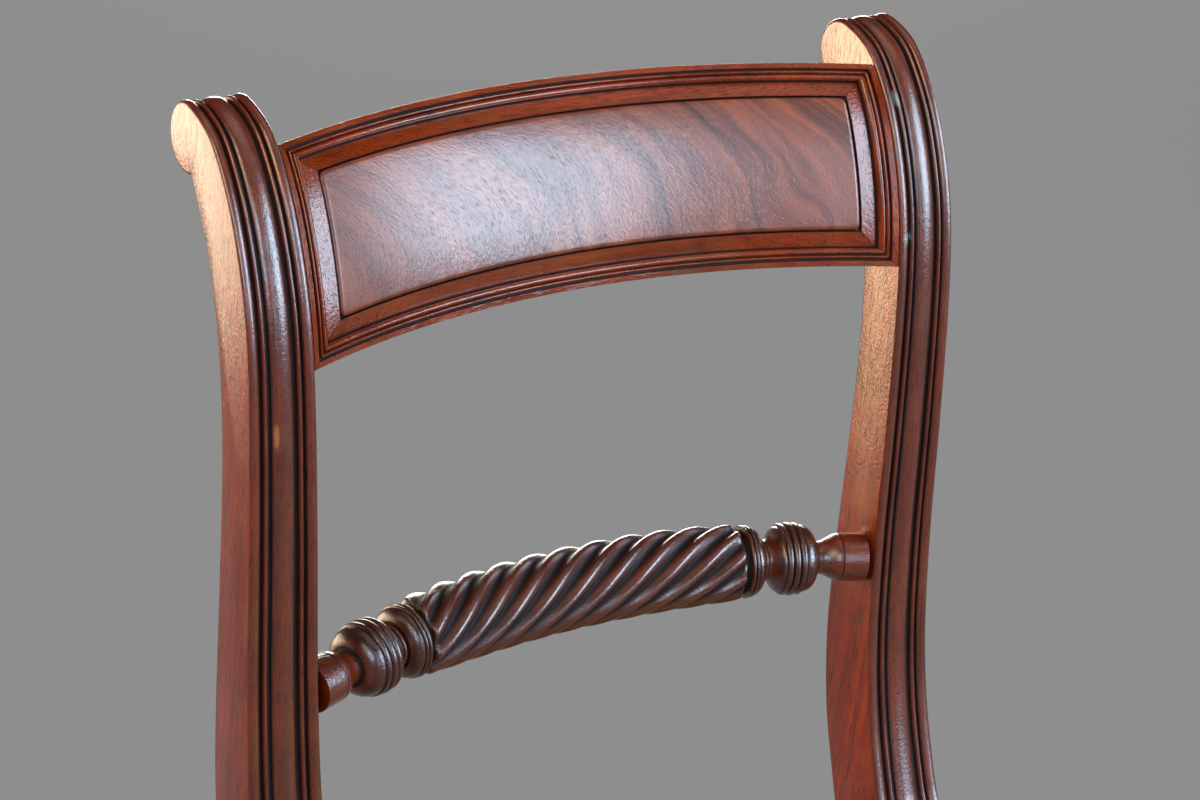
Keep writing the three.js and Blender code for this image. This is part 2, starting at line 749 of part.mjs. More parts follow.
function seatEndTenon(edgeY, inward, grow) {
  const innerEdge = edgeY + inward * seatFrameWidth;
  const half = seatHalfWidth(edgeY) - seatFrameWidth / 2 + grow;
  const middle = (edgeY + innerEdge) / 2;
  const third = seatFrameThickness / 3;
  return block(
    new THREE.Vector3(-half, middle - seatFrameWidth / 4 - grow, ledgeZ + third - grow),
    new THREE.Vector3(half, middle + seatFrameWidth / 4 + grow, seatFrameTop - third + grow),
  );
}

function seatSideMember() {
  return slab(seatSidePlan(), ledgeZ, seatFrameTop)
    .subtract(seatEndTenon(seatFront, 1, fit))
    .subtract(seatEndTenon(seatBack, -1, fit));
}

// Straps laid across the seat frame: three along the chair, and three across on top of them.
function lengthStrap(share) {
  const reach = seatHalfWidth(seatBack) - seatFrameWidth;
  const x = share * reach;
  const z = seatFrameTop + fit;
  return block(
    new THREE.Vector3(x - webbingWidth / 2, seatFront + webbingSetback, z),
    new THREE.Vector3(x + webbingWidth / 2, seatBack - webbingSetback, z + webbingThickness),
  );
}

function crossStrap(share) {
  const y = mix(seatFront + seatFrameWidth, seatBack - seatFrameWidth, share);
  const half = seatHalfWidth(y + webbingWidth / 2) - webbingSetback;
  const z = seatFrameTop + webbingThickness + fit * 2;
  return block(
    new THREE.Vector3(-half, y - webbingWidth / 2, z),
    new THREE.Vector3(half, y + webbingWidth / 2, z + webbingThickness),
  );
}

const padBottom = seatFrameTop + webbingThickness * 2 + fit * 3;

// A place on the pad's plan from shares across and along, -1 to 1, with round corners and drawn-in sides.
function padPlan(across, along, inset) {
  const cornerPull = (across * along) ** 8 * padCorner * 0.3;
  const y = mix(seatFront, seatBack, (along + 1) / 2);
  const half = seatHalfWidth(y) - inset - padDrawIn * (1 - along ** 2) ** 0.5 * 0.6;
  const middle = (seatFront + seatBack) / 2;
  const halfLength = (seatBack - seatFront) / 2 - inset - padDrawIn * (1 - across ** 2) ** 0.5 * 0.6;
  return [across * (half - cornerPull), middle + along * (halfLength - cornerPull)];
}

function padHeight(across, along) {
  const dome = (1 - across ** 4) * (1 - along ** 4);
  return padBottom + padRim + padCrown * dome ** 0.7;
}

// The stuffed pad: a crowned top over bellied edges on a flat bottom.
function seatPad() {
  const shares = evenShares(padSteps).map((share) => Math.sin((share - 0.5) * Math.PI));
  const points = [];
  const triangles = [];
  const add = (across, along, inset, z) => {
    const [x, y] = padPlan(across, along, inset);
    return points.push(new THREE.Vector3(x, y, z)) - 1;
  };
  const grid = shares.map((along) => shares.map((across) => (
    add(across, along, padRim * 0.25, padHeight(across, along))
  )));
  for (let i = 0; i < padSteps; i += 1) stitchRows(grid[i], grid[i + 1], triangles);
  const edge = [
    ...shares.slice(0, -1).map((across) => [across, -1]),
    ...shares.slice(0, -1).map((along) => [1, along]),
    ...shares.slice(1).reverse().map((across) => [across, 1]),
    ...shares.slice(1).reverse().map((along) => [-1, along]),
  ];
  const top = [
    ...grid[0].slice(0, -1),
    ...grid.slice(0, -1).map((row) => row[padSteps]),
    ...grid[padSteps].slice(1).reverse(),
    ...grid.slice(1).map((row) => row[0]).reverse(),
  ];
  const belly = edge.map(([across, along]) => add(across, along, 0, padBottom + padRim * 0.55));
  const foot = edge.map(([across, along]) => add(across, along, padRim * 0.1, padBottom));
  stitchRows([...belly, belly[0]], [...top, top[0]], triangles);
  stitchRows([...foot, foot[0]], [...belly, belly[0]], triangles);
  capRing(points, foot, true, triangles);
  return solidFromMesh(points, triangles);
}

// Corner blocks and screws

const blockTop = ledgeZ - fit;

// The corner that a block fills on the right: its place, the way it runs along y, and its reach.
const corners = {
  front: { x: frontInnerX - fit, y: frontRailBack + fit, towards: 1, reach: frontJointY - frontRailBack },
  back: { x: kneeInnerX - fit, y: backRailFront - fit, towards: -1, reach: blockLeg },
};

function cornerPlan({ x, y, towards, reach }) {
  const leg = Math.min(reach, blockLeg);
  return [[x, y], [x - blockLeg, y], [x, y + towards * leg]];
}

// Where a screw's head lies on the slanted face of a corner block.
function screwPlace(corner, intoPost) {
  const leg = Math.min(corner.reach, blockLeg);
  const share = intoPost ? screwShare : 1 - screwShare;
  const height = intoPost ? screwHeightShares.post : screwHeightShares.rail;
  return new THREE.Vector3(
    corner.x - blockLeg * (1 - share),
    corner.y + corner.towards * leg * share,
    blockTop - blockHeight * height,
  );
}

// One screw of a corner block, from the slanted face into a rail or post.
function blockScrew(corner, intoPost, grow) {
  const direction = intoPost ? new THREE.Vector3(1, 0, 0) : new THREE.Vector3(0, -corner.towards, 0);
  return screw(screwPlace(corner, intoPost), direction, grow);
}

function screw(start, direction, grow) {
  const head = screwHeadRadius + grow;
  const shank = screwRadius + grow;
  const profile = [
    [0, -grow], [head, -grow], [head, screwHeadHeight * 0.3], [shank, screwHeadHeight + grow],
    [shank, screwLength - screwRadius * 2], [0, screwLength + grow],
  ];
  const outline = profile.map(([radius, along]) => new THREE.Vector2(radius, along));
  const geometry = new THREE.LatheGeometry(outline, roundSides / 2);
  const turn = new THREE.Quaternion().setFromUnitVectors(new THREE.Vector3(0, 1, 0), direction);
  geometry.applyQuaternion(turn).translate(start.x, start.y, start.z);
  return solidFromGeometry(geometry);
}

// Clears the way to a screw's head from inside the seat.
function screwSink(corner, intoPost) {
  const direction = intoPost ? new THREE.Vector3(-1, 0, 0) : new THREE.Vector3(0, corner.towards, 0);
  return rod(screwPlace(corner, intoPost), direction, blockLeg, screwHeadRadius + fit);
}

function cornerBlock(corner) {
  let solid = slab(cornerPlan(corner), blockTop - blockHeight, blockTop);
  for (const intoPost of [true, false]) {
    solid = solid.subtract(blockScrew(corner, intoPost, fit)).subtract(screwSink(corner, intoPost));
  }
  return solid;
}

// The ledge strip along the inside of a side rail, between the corner blocks.
function seatBearer() {
  const backEnd = corners.back.y - blockLeg - fit * 2;
  const frontEnd = frontJointY + fit * 2;
  const at = (y, depth) => [sideRailX(1, clamp(y, frontJointY, jointY)) - fit - depth, y];
  const plan = [at(backEnd, 0), at(jointY, 0), at(frontEnd, 0)];
  const inner = [at(frontEnd, bearerThickness), at(jointY, bearerThickness), at(backEnd, bearerThickness)];
  return slab([...plan, ...inner], blockTop - bearerHeight, blockTop);
}

// Frame pieces

function backPost() {
  return reededPlank(postOutline(), (across, y, z) => postX(across, z), true)
    .subtract(sideRailTenon(jointY, fit))
    .subtract(crossRailTenon(kneeInnerX, backRailMiddle, fit))
    .subtract(tabletTenon(fit))
    .subtract(ropeTenon(fit))
    .subtract(blockScrew(corners.back, true, fit));
}

function frontLeg() {
  return reededPlank(frontLegOutline(), (across, y, z) => frontLegX(across, z), false)
    .subtract(sideRailTenon(frontJointY, fit))
    .subtract(crossRailTenon(frontInnerX, frontRailMiddle, fit))
    .subtract(blockScrew(corners.front, true, fit));
}

function sideRail() {
  const outline = [
    new THREE.Vector2(jointY - fit, railTop),
    new THREE.Vector2(frontJointY + fit, railTop),
    new THREE.Vector2(frontJointY + fit, underRail),
    new THREE.Vector2(jointY - fit, underRail),
  ];
  const body = reededPlank({ outline, reeded: 2 }, (across, y) => sideRailX(across, y), false);
  return body.add(sideRailTenon(jointY, 0)).add(sideRailTenon(frontJointY, 0));
}

// A front or back rail with its seat ledge and tenons. `inside` is the y of its face towards the seat.
function crossRail(faceX, inside, outward, corner) {
  const outside = inside + outward * crossRailThickness;
  const [low, high] = [Math.min(inside, outside), Math.max(inside, outside)];
  const half = faceX - fit;
  const body = block(new THREE.Vector3(-half, low, underRail), new THREE.Vector3(half, high, railTop));
  const ledge = inside + outward * ledgeWidth;
  const cut = block(
    new THREE.Vector3(-half - fit, Math.min(inside, ledge) - fit * (outward > 0 ? 1 : 0), ledgeZ - fit),
    new THREE.Vector3(half + fit, Math.max(inside, ledge) + fit * (outward < 0 ? 1 : 0), railTop + fit),
  );
  const tenon = crossRailTenon(faceX, (low + high) / 2, 0);
  const hole = blockScrew(corner, false, fit);
  return body.subtract(cut).add(tenon).add(mirrored(tenon)).subtract(hole).subtract(mirrored(hole));
}

// Materials

function finish(color, roughness) {
  return new THREE.MeshStandardMaterial({ color, roughness, metalness: 0 });
}

const mahogany = () => finish('#6f2f1a', 0.35);
const flameVeneer = () => finish('#7a3a22', 0.25);
const beech = () => finish('#c79a66', 0.7);
const webbing = () => finish('#b9a27c', 0.95);
const horsehair = () => finish('#7d8468', 0.9);
const steel = () => new THREE.MeshStandardMaterial({ color: '#8b8b88', roughness: 0.4, metalness: 1 });

// Assembly

const chair = new THREE.Group();
function addNode(name, solid, material) {
  const mesh = new THREE.Mesh(geometryFromSolid(solid), material);
  mesh.name = name;
  chair.add(mesh);
}

// Adds a right-hand piece and its mirror image.
function addPair(name, solid, material) {
  addNode(`${name}_right`, solid, material());
  addNode(`${name}_left`, mirrored(solid), material());
}

addPair('back_post', backPost(), mahogany);
addPair('front_leg', frontLeg(), mahogany);
addPair('side_rail', sideRail(), mahogany);
addNode('back_rail', crossRail(kneeInnerX, backRailFront, 1, corners.back), mahogany());
addNode('front_rail', crossRail(frontInnerX, frontRailBack, -1, corners.front), mahogany());

const tabletEnd = tabletTenon(0);
addNode('tablet_rail', tabletCoreBody().add(tabletEnd).add(mirrored(tabletEnd)), mahogany());
addNode('tablet_moulding_top', longMoulding(true), mahogany());
addNode('tablet_moulding_bottom', longMoulding(false), mahogany());
addPair('tablet_moulding', endMoulding(1), mahogany);
addNode('tablet_panel', tabletPanel(), flameVeneer());
addNode('rope_rail', ropeRail(), mahogany());

for (const [place, corner] of Object.entries(corners)) {
  addPair(`corner_block_${place}`, cornerBlock(corner), beech);
  addPair(`screw_${place}_side`, blockScrew(corner, true, 0), steel);
  addPair(`screw_${place}_rail`, blockScrew(corner, false, 0), steel);
}
addPair('seat_bearer', seatBearer(), beech);

addPair('seat_frame', seatSideMember(), beech);
addNode('seat_frame_front', seatEndMember(seatFront, 1), beech());
addNode('seat_frame_back', seatEndMember(seatBack, -1), beech());
[-0.62, 0, 0.62].forEach((share, i) => addNode(`webbing_length_${i + 1}`, lengthStrap(share), webbing()));
[0.2, 0.5, 0.8].forEach((share, i) => addNode(`webbing_cross_${i + 1}`, crossStrap(share), webbing()));
addNode('seat_pad', seatPad(), horsehair());

// Puts the origin under the middle of the chair.
const extent = new THREE.Box3().setFromObject(chair);
chair.position.y = -(extent.min.y + extent.max.y) / 2;

export default chair;
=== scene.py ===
import math

import bmesh
import bpy
import numpy as np
from bpy.props import FloatProperty, FloatVectorProperty, IntProperty, PointerProperty
from mathutils import Matrix, Vector


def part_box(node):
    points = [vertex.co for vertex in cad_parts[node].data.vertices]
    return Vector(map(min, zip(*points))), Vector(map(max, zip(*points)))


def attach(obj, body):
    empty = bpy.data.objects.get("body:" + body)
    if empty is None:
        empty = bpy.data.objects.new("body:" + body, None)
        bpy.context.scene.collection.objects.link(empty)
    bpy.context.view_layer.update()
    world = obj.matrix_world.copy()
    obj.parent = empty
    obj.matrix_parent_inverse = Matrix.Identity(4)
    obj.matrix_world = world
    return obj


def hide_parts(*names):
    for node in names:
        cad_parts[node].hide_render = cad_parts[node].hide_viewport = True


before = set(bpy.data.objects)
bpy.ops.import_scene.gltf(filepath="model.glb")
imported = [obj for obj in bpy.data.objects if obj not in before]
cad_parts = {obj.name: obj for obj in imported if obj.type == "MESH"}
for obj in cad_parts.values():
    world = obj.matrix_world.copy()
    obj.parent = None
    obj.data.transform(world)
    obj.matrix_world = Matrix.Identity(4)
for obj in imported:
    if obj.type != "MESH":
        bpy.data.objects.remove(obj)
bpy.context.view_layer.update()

# A Regency mahogany dining chair in a plain studio. Its frame pieces are surfaces worked out from
# the same sizes as the solid model, with fine reeding, mouldings and rope carving, and its seat pad
# is a stuffed cloth. Lengths are in metres, +Z is up and the front faces -Y.

bl_info = {
    "name": "Regency dining chair",
    "version": (1, 0, 0),
    "blender": (4, 5, 0),
    "location": "View3D > Sidebar > Chair",
    "description": "Builds a mahogany dining chair with a rope-carved cross rail, and its studio",
    "category": "Add Mesh",
}

MM = 0.001

# Places read from the solid model
RAIL_TENON = 22 * MM
RAIL_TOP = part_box("back_rail")[1].z
RAIL_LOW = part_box("back_rail")[0].z
CHAIR_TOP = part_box("back_post_right")[1].z
KNEE_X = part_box("back_post_right")[1].x
KNEE_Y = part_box("back_post_right")[0].y
LEG_JOINT_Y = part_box("side_rail_right")[0].y + RAIL_TENON
FRONT_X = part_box("front_leg_right")[1].x

# Edges sharper than this many degrees are creased
CREASE = 38
# Steps of the post's front where places are looked up on it
FINE = 2400


def length(name, description, millimetres):
    """A length property with its default given in millimetres."""
    return FloatProperty(name=name, description=description, default=millimetres * MM,
                         unit="LENGTH", subtype="DISTANCE", precision=4)


def tint(name, description, hex_colour):
    """A colour property with its default given as an sRGB hex value."""
    return FloatVectorProperty(name=name, description=description, subtype="COLOR", size=3,
                               min=0, max=1, default=linear(hex_colour))


def linear(hex_colour):
    """An sRGB hex value as linear red, green and blue."""
    parts = [int(hex_colour[i:i + 2], 16) / 255 for i in (1, 3, 5)]
    return [c / 12.92 if c <= 0.04045 else ((c + 0.055) / 1.055) ** 2.4 for c in parts]


class BackSizes(bpy.types.PropertyGroup):
    """Sizes of the posts, the tablet and the reeding."""
    back_sweep: length("Sweep", "Knee joint back to the middle of the scroll", 200)
    knee_radius: length("Knee radius", "Sweep from the seat rail up into the post", 70)
    knee_fillet: length("Knee fillet", "Curve below the rail where the rear leg starts", 36)
    scroll_radius: length("Scroll radius", "Half the thickness of a scroll", 18.7)
    scroll_half_width: length("Scroll half width", "Middle of the chair to the outside of a scroll", 219)
    scroll_width: length("Scroll width", "Width of a post at its scroll", 34)
    knee_width: length("Knee width", "Width of a post at the seat", 44)
    rear_foot_width: length("Rear foot width", "Width of a rear leg at the floor", 30)
    rear_leg_rake: length("Rear rake", "Back of the knee to the back of the rear foot", 121)
    rear_leg_start: length("Rear leg start", "Knee joint to the back of the knee", 93)
    reed_depth: length("Reed depth", "Depth of the channels between the reeds", 3.2)
    tablet_drop: length("Tablet drop", "Top of the scrolls down to the tablet", 13.3)
    tablet_rise: length("Tablet rise", "Height of the tablet, seen from the front", 103.9)
    tablet_bow: length("Tablet bow", "How far the tablet's middle lies behind its ends", 38.5)
    tablet_recess: length("Tablet recess", "Tablet face behind the front of the posts", 1.5)
    core_thickness: length("Core thickness", "Thickness of the tablet behind its mouldings", 15)
    moulding_thickness: length("Moulding thickness", "Face of the moulding over the core", 5.5)
    moulding_width: length("Moulding width", "Width of the moulding round the panel", 20)
    panel_rise: length("Panel rise", "Panel face over the core", 6.1)
    fit: length("Fit", "Clearance between touching pieces", 0.3)


class RopeSizes(bpy.types.PropertyGroup):
    """Sizes of the rope-carved cross rail."""
    drop: length("Drop", "Lower edge of the tablet down to the ends of the rail's axis", 179.5)
    inset: length("Inset", "Ends of the axis behind the front of the posts", 11.7)
    bow: length("Bow", "How far the rail's middle lies behind its ends", 36)
    radius: length("Radius", "Radius over the strands at the middle", 23.2)
    end_radius: length("End radius", "Radius over the strands at the ends", 21.8)
    cut: length("Cut", "Depth of the hollows between the strands", 3.8)
    strands: IntProperty(name="Strands", description="Strands round the rail", default=9, min=3, max=20)
    turns: FloatProperty(name="Turns", description="Turns of a strand over the carved length", default=1.15)


class SeatSizes(bpy.types.PropertyGroup):
    """Sizes of the seat rails, the front legs and the pad."""
    front_sweep: length("Front sweep", "How far the front leg curves back below its knee", 43)
    front_knee: length("Front knee", "Radius of the front leg's knee", 37)
    joint_setback: length("Joint setback", "Front leg's face back to its joint with the side rail", 73)
    front_width: length("Front leg width", "Width of a front leg at its knee", 40)
    front_foot: length("Front foot width", "Width of a front leg at the floor", 29)
    arris: length("Arris", "Rounding of the plain edges", 1.2)
    voxel: length("Pad voxel", "Fineness of the pad before it is stuffed", 6)
    swell: length("Pad swell", "Most that the stuffing may move the cover", 9)
    thread: length("Thread spacing", "Spacing of the cover's threads", 1.1)


class Colours(bpy.types.PropertyGroup):
    """Colours of the chair's woods, cover and metal, and of the studio."""
    heart: tint("Mahogany heart", "Dark stripes of the mahogany", "#3a0c01")
    sap: tint("Mahogany light", "Light stripes of the mahogany", "#943103")
    worn: tint("Worn mahogany", "Where handling has thinned the polish", "#b96a2c")
    # Old wax, which is also the colour of the painted shade laid into the hollows
    wax: tint("Old wax", "Dark wax in the hollows", "#0c0504")
    flame_dark: tint("Flame dark", "Dark streaks of the flame figure", "#3d1208")
    flame_light: tint("Flame light", "Light streaks of the flame figure", "#8c4020")
    filler: tint("Filler", "Filling over the nail heads", "#76807c")
    beech: tint("Beech", "Bare beech of the seat frame and blocks", "#c69a68")
    cover: tint("Cover", "Threads of the seat cover", "#b09f7c")
    cover_shade: tint("Cover shade", "Threads in the shade of the weave", "#857450")
    jute: tint("Jute", "Webbing", "#b19a72")
    steel: tint("Steel", "Screws", "#8f8e8a")
    floor: tint("Floor", "Floor and surroundings", "#939393")


# Curves

# Side curves of the posts and legs, as shares of their sweep or rake and of their height. The steps
# along them, given where they are used, are 1 to 5 mm long.
POST_FRONT = [(0.4025, 0.174), (0.465, 0.275), (0.5075, 0.406), (0.5375, 0.553), (0.57, 0.6856),
              (0.6075, 0.7844), (0.659, 0.8549), (0.7375, 0.9211), (0.83, 0.9695), (0.905, 0.9905)]
POST_BACK = [(0.886, 0.8782), (0.8325, 0.837), (0.7825, 0.7781), (0.7425, 0.7066), (0.7175, 0.6162),
             (0.7025, 0.49), (0.69, 0.3533), (0.669, 0.2482), (0.6175, 0.1493), (0.5475, 0.0715)]
REAR_LEG_BACK = [(0.045, 1.007), (0, 0.92), (0.033, 0.823), (0.157, 0.651), (0.413, 0.405),
                 (0.727, 0.16), (1, 0)]
REAR_LEG_FRONT = [(0.7, 0), (0.43, 0.16), (0.1, 0.405), (-0.19, 0.651)]
FRONT_LEG_FRONT = [(0.163, 0.762), (0.326, 0.614), (0.372, 0.467), (0.256, 0.319), (-0.07, 0.16), (-0.63, 0)]
FRONT_LEG_BACK = [(0.093, 0), (0.651, 0.16), (1.023, 0.319), (1.186, 0.467), (1.163, 0.614)]

# Reeds across a post's front as shares of its width and depth: middle, half width, crest
REEDS = ((0.072, 0.093, 1.0), (0.24, 0.036, 0.86), (0.5, 0.172, 1.0), (0.76, 0.036, 0.86),
         (0.928, 0.093, 1.0))
REED_COLUMNS, ARRIS_COLUMNS = 121, 4
# The reeding runs out over this many points behind the scroll
FADE_POINTS = 9
# How dark the reeded faces are with wax, and from where a face counts as reeded
REED_WAX, WAXED = 0.42, 0.2


def back():
    return bpy.context.scene.chair_back


def seat():
    return bpy.context.scene.chair_seat


def mix(a, b, share):
    """A value between two others."""
    return a + (b - a) * share


def at_shares(shares, origin, spans):
    """Points at shares of two spans, measured from an origin."""
    return np.asarray(origin) + np.asarray(shares, float) * np.asarray(spans)


def spline(knots, first, last, steps):
    """Points on a smooth curve through the knots, from one knot's number to another's.
    Between knots b and c with neighbours a and d it is half of
    2b + (c-a)w + (2a-5b+4c-d)w^2 + (3b-a-3c+d)w^3, and the end knots count twice."""
    padded = np.vstack([knots[:1], knots, knots[-1:]])
    t = np.linspace(first, last, steps + 1)
    i = np.minimum(t.astype(int), len(knots) - 2)
    w = (t - i)[:, None]
    a, b, c, d = (padded[i + k] for k in range(4))
    return 0.5 * (2 * b + (c - a) * w + (2 * a - 5 * b + 4 * c - d) * w ** 2
                  + (3 * b - a - 3 * c + d) * w ** 3)


def arc(centre, radius, start_degrees, end_degrees, steps):
    """Points on a circle between two angles."""
    angle = np.radians(np.linspace(start_degrees, end_degrees, steps + 1))
    return np.asarray(centre) + radius * np.stack([np.cos(angle), np.sin(angle)], 1)


def directions(points):
    """Directions of unit length along a line of points."""
    along = np.gradient(points, axis=0)
    return along / np.linalg.norm(along, axis=1)[:, None]


def scroll_centre():
    """Middle of the scroll in the side view."""
    return np.array([KNEE_Y + back().back_sweep, CHAIR_TOP - back().scroll_radius])


def post_curve(shares):
    """Points of the post's side view from shares of its sweep and height."""
    return at_shares(shares, (KNEE_Y, RAIL_TOP), (back().back_sweep, CHAIR_TOP - RAIL_TOP))


def rear_leg_curve(shares):
    """Points of the rear leg's side view from shares of its rake and height."""
    return at_shares(shares, (KNEE_Y + back().rear_leg_start, 0), (back().rear_leg_rake, RAIL_TOP))


def post_front(steps):
    """Front of the post in the side view: an arc at the knee and a spline up to the top of the scroll."""
    radius = back().knee_radius
    knee = ((KNEE_Y, RAIL_TOP + radius), radius, -90, -27)
    top = arc(scroll_centre(), back().scroll_radius, 90, 60, 1)
    knots = np.vstack([arc(*knee, 5)[4:], post_curve(POST_FRONT), top])
    return np.vstack([arc(*knee, steps // 5)[:-1], spline(knots, 1, len(knots) - 2, steps)])


def leg_inner_edge(foot, joint_y, towards, steps):
    """Inner edge of a leg from its foot up into the underside of the rail."""
    fillet = back().knee_fillet
    knots = np.vstack([foot, [(joint_y + 0.95 * towards, RAIL_LOW - 0.6 * fillet),
                              (joint_y + 0.6 * towards, RAIL_LOW - 0.16 * fillet), (joint_y, RAIL_LOW)]])
    return spline(knots, 0, len(knots) - 1, steps)


def joint_plane(y):
    """The upright plane where a leg meets the side rail."""
    return np.array([[y, RAIL_LOW], [y, RAIL_TOP]]), False


def post_segments():
    """The post's side outline as (points, reeded) stretches: front with scroll, back, foot, leg, joint."""
    scroll = arc(scroll_centre(), back().scroll_radius, 90, -115, 70)
    knots = np.vstack([scroll[-1:], post_curve(POST_BACK), rear_leg_curve(REAR_LEG_BACK)])
    behind = spline(knots, 0, len(knots) - 1, 200)
    leg = leg_inner_edge(rear_leg_curve(REAR_LEG_FRONT), KNEE_Y, 1.4 * back().knee_fillet, 90)
    return [(np.vstack([post_front(230), scroll[1:]]), True), (behind, False),
            (np.vstack([behind[-1:], leg[:1]]), False), (leg, False), joint_plane(KNEE_Y)]


def front_leg_segments():
    """The front leg's side outline: top with knee and shin, foot, back edge, joint."""
    s = seat()
    front_y = LEG_JOINT_Y - s.joint_setback
    knee = ((front_y + s.front_knee, RAIL_TOP - s.front_knee), s.front_knee, 90, 180)
    shin, foot = (at_shares(shares, (front_y, 0), (s.front_sweep, RAIL_TOP))
                  for shares in (FRONT_LEG_FRONT, FRONT_LEG_BACK))
    knots = np.vstack([arc(*knee, 5)[4:], shin])
    fall = spline(knots, 1, len(knots) - 1, 130)
    round_knee = arc(*knee, 30)
    flat = np.stack([np.linspace(LEG_JOINT_Y, round_knee[0, 0], 8)[:-1], np.full(7, RAIL_TOP)], 1)
    behind = leg_inner_edge(foot, LEG_JOINT_Y, -0.65 * back().knee_fillet, 110)
    return [(np.vstack([flat, round_knee[:-1], fall]), True), (np.vstack([fall[-1:], behind[:1]]), False),
            (behind, False), joint_plane(LEG_JOINT_Y)]


def side_rail_segments():
    """The side rail's side outline: reeded top, front end, underside, back end."""
    low, high = LEG_JOINT_Y + back().fit, KNEE_Y - back().fit
    top = np.stack([np.linspace(high, low, 12), np.full(12, RAIL_TOP)], 1)
    under = np.stack([np.linspace(low, high, 12), np.full(12, RAIL_LOW)], 1)
    front_end = np.array([[low, RAIL_TOP], [low, RAIL_LOW]])
    return [(top, True), (front_end, False), (under, False), joint_plane(high)]


# Widths: x from the share across, 0 outside to 1 inside, on the right-hand piece

def post_x(across, y, z):
    """The post tapers evenly up to the scroll, and the leg below the knee tapers to its foot."""
    s = back()
    knee_top, knee_low = RAIL_TOP + s.knee_fillet, RAIL_LOW - s.knee_fillet
    rise = np.clip((z - knee_top) / (CHAIR_TOP - knee_top), 0, 1)
    fall = np.clip((knee_low - z) / knee_low, 0, 1)
    width = mix(mix(s.knee_width, s.scroll_width, rise), s.rear_foot_width, fall)
    return mix(KNEE_X, s.scroll_half_width, rise) - across * width


def inner_x(z, gap):
    """Inside of a post less a gap."""
    return post_x(1.0, None, z) - gap


def front_leg_x(across, y, z):
    """The front leg tapers to its foot on its inner side."""
    low = RAIL_LOW - back().knee_fillet
    return FRONT_X - across * mix(seat().front_width, seat().front_foot, np.clip((low - z) / low, 0, 1))


def side_rail_x(across, y, z):
    """The side rail spreads towards the front."""
    share = (y - KNEE_Y) / (LEG_JOINT_Y - KNEE_Y)
    return mix(KNEE_X, FRONT_X, share) - across * mix(back().knee_width, seat().front_width, share)


def bead(across, middle, half, floor, crest):
    """Half an ellipse that stands on a floor: floor + (crest - floor) * sqrt(1 - ((u - middle) / half)^2)."""
    inside = np.maximum(1 - ((across - middle) / half) ** 2, 0)
    return np.where(inside > 0, floor + (crest - floor) * np.sqrt(inside), 0)


def reed_hollow(across):
    """Share of the reed depth at a place across the front: 1 less the highest of the beads."""
    return 1 - np.max([bead(across, middle, half, 0, crest) for middle, half, crest in REEDS], 0)


# Meshes

def grid_quads(rows, columns, wrap_rows=False, wrap_columns=False):
    """Four-sided faces of a grid of points numbered row by row."""
    index = np.arange(rows * columns).reshape(rows, columns)
    index = np.vstack([index, index[:1]]) if wrap_rows else index
    index = np.hstack([index, index[:, :1]]) if wrap_columns else index
    return np.stack([index[:-1, :-1], index[1:, :-1], index[1:, 1:], index[:-1, 1:]], -1).reshape(-1, 4)


def read(items, key, width=1, kind=float):
    """One value, or a row of values, of every item of a mesh."""
    values = np.empty(len(items) * width, kind)
    items.foreach_get(key, values)
    return values.reshape(-1, width) if width > 1 else values


def new_object(name, data):
    """An object linked to the scene."""
    made = bpy.data.objects.new(name, data)
    bpy.context.scene.collection.objects.link(made)
    return made


def add_object(name, points, quads, caps=(), values=None, bends=()):
    """An object from points, four-sided faces and flat end faces, with doubles merged, faces turned
    outwards, only the four-sided faces smooth, values kept as attributes of the points, and the faces
    cut at the heights where they bend."""
    mesh = bpy.data.meshes.new(name)
    corners = np.concatenate([quads.ravel(), *[np.asarray(c) for c in caps]]).astype(np.int32)
    counts = np.concatenate([np.full(len(quads), 4), [len(c) for c in caps]]).astype(np.int32)
    mesh.vertices.add(len(points))
    mesh.vertices.foreach_set("co", np.ascontiguousarray(points, np.float32).ravel())
    mesh.loops.add(len(corners))
    mesh.loops.foreach_set("vertex_index", corners)
    mesh.polygons.add(len(counts))
    mesh.polygons.foreach_set("loop_start", (np.cumsum(counts) - counts).astype(np.int32))
    for key, value in (values or {}).items():
        layer = mesh.attributes.new(key, "FLOAT", "POINT")
        layer.data.foreach_set("value", np.ascontiguousarray(value, np.float32).ravel())
    mesh.update(calc_edges=True)
    work = bmesh.new()
    work.from_mesh(mesh)
    bmesh.ops.remove_doubles(work, verts=work.verts, dist=2e-6)
    bmesh.ops.dissolve_degenerate(work, edges=work.edges, dist=1e-6)
    for height in bends:
        bmesh.ops.bisect_plane(work, geom=[*work.verts, *work.edges, *work.faces], dist=1e-6,
                               plane_co=(0, 0, height), plane_no=(0, 0, 1))
    bmesh.ops.recalc_face_normals(work, faces=work.faces)
    work.to_mesh(mesh)
    work.free()
    mesh.polygons.foreach_set("use_smooth", read(mesh.polygons, "loop_total", kind=np.int32) <= 4)
    mesh.set_sharp_from_angle(angle=math.radians(CREASE))
    return new_object(name, mesh)


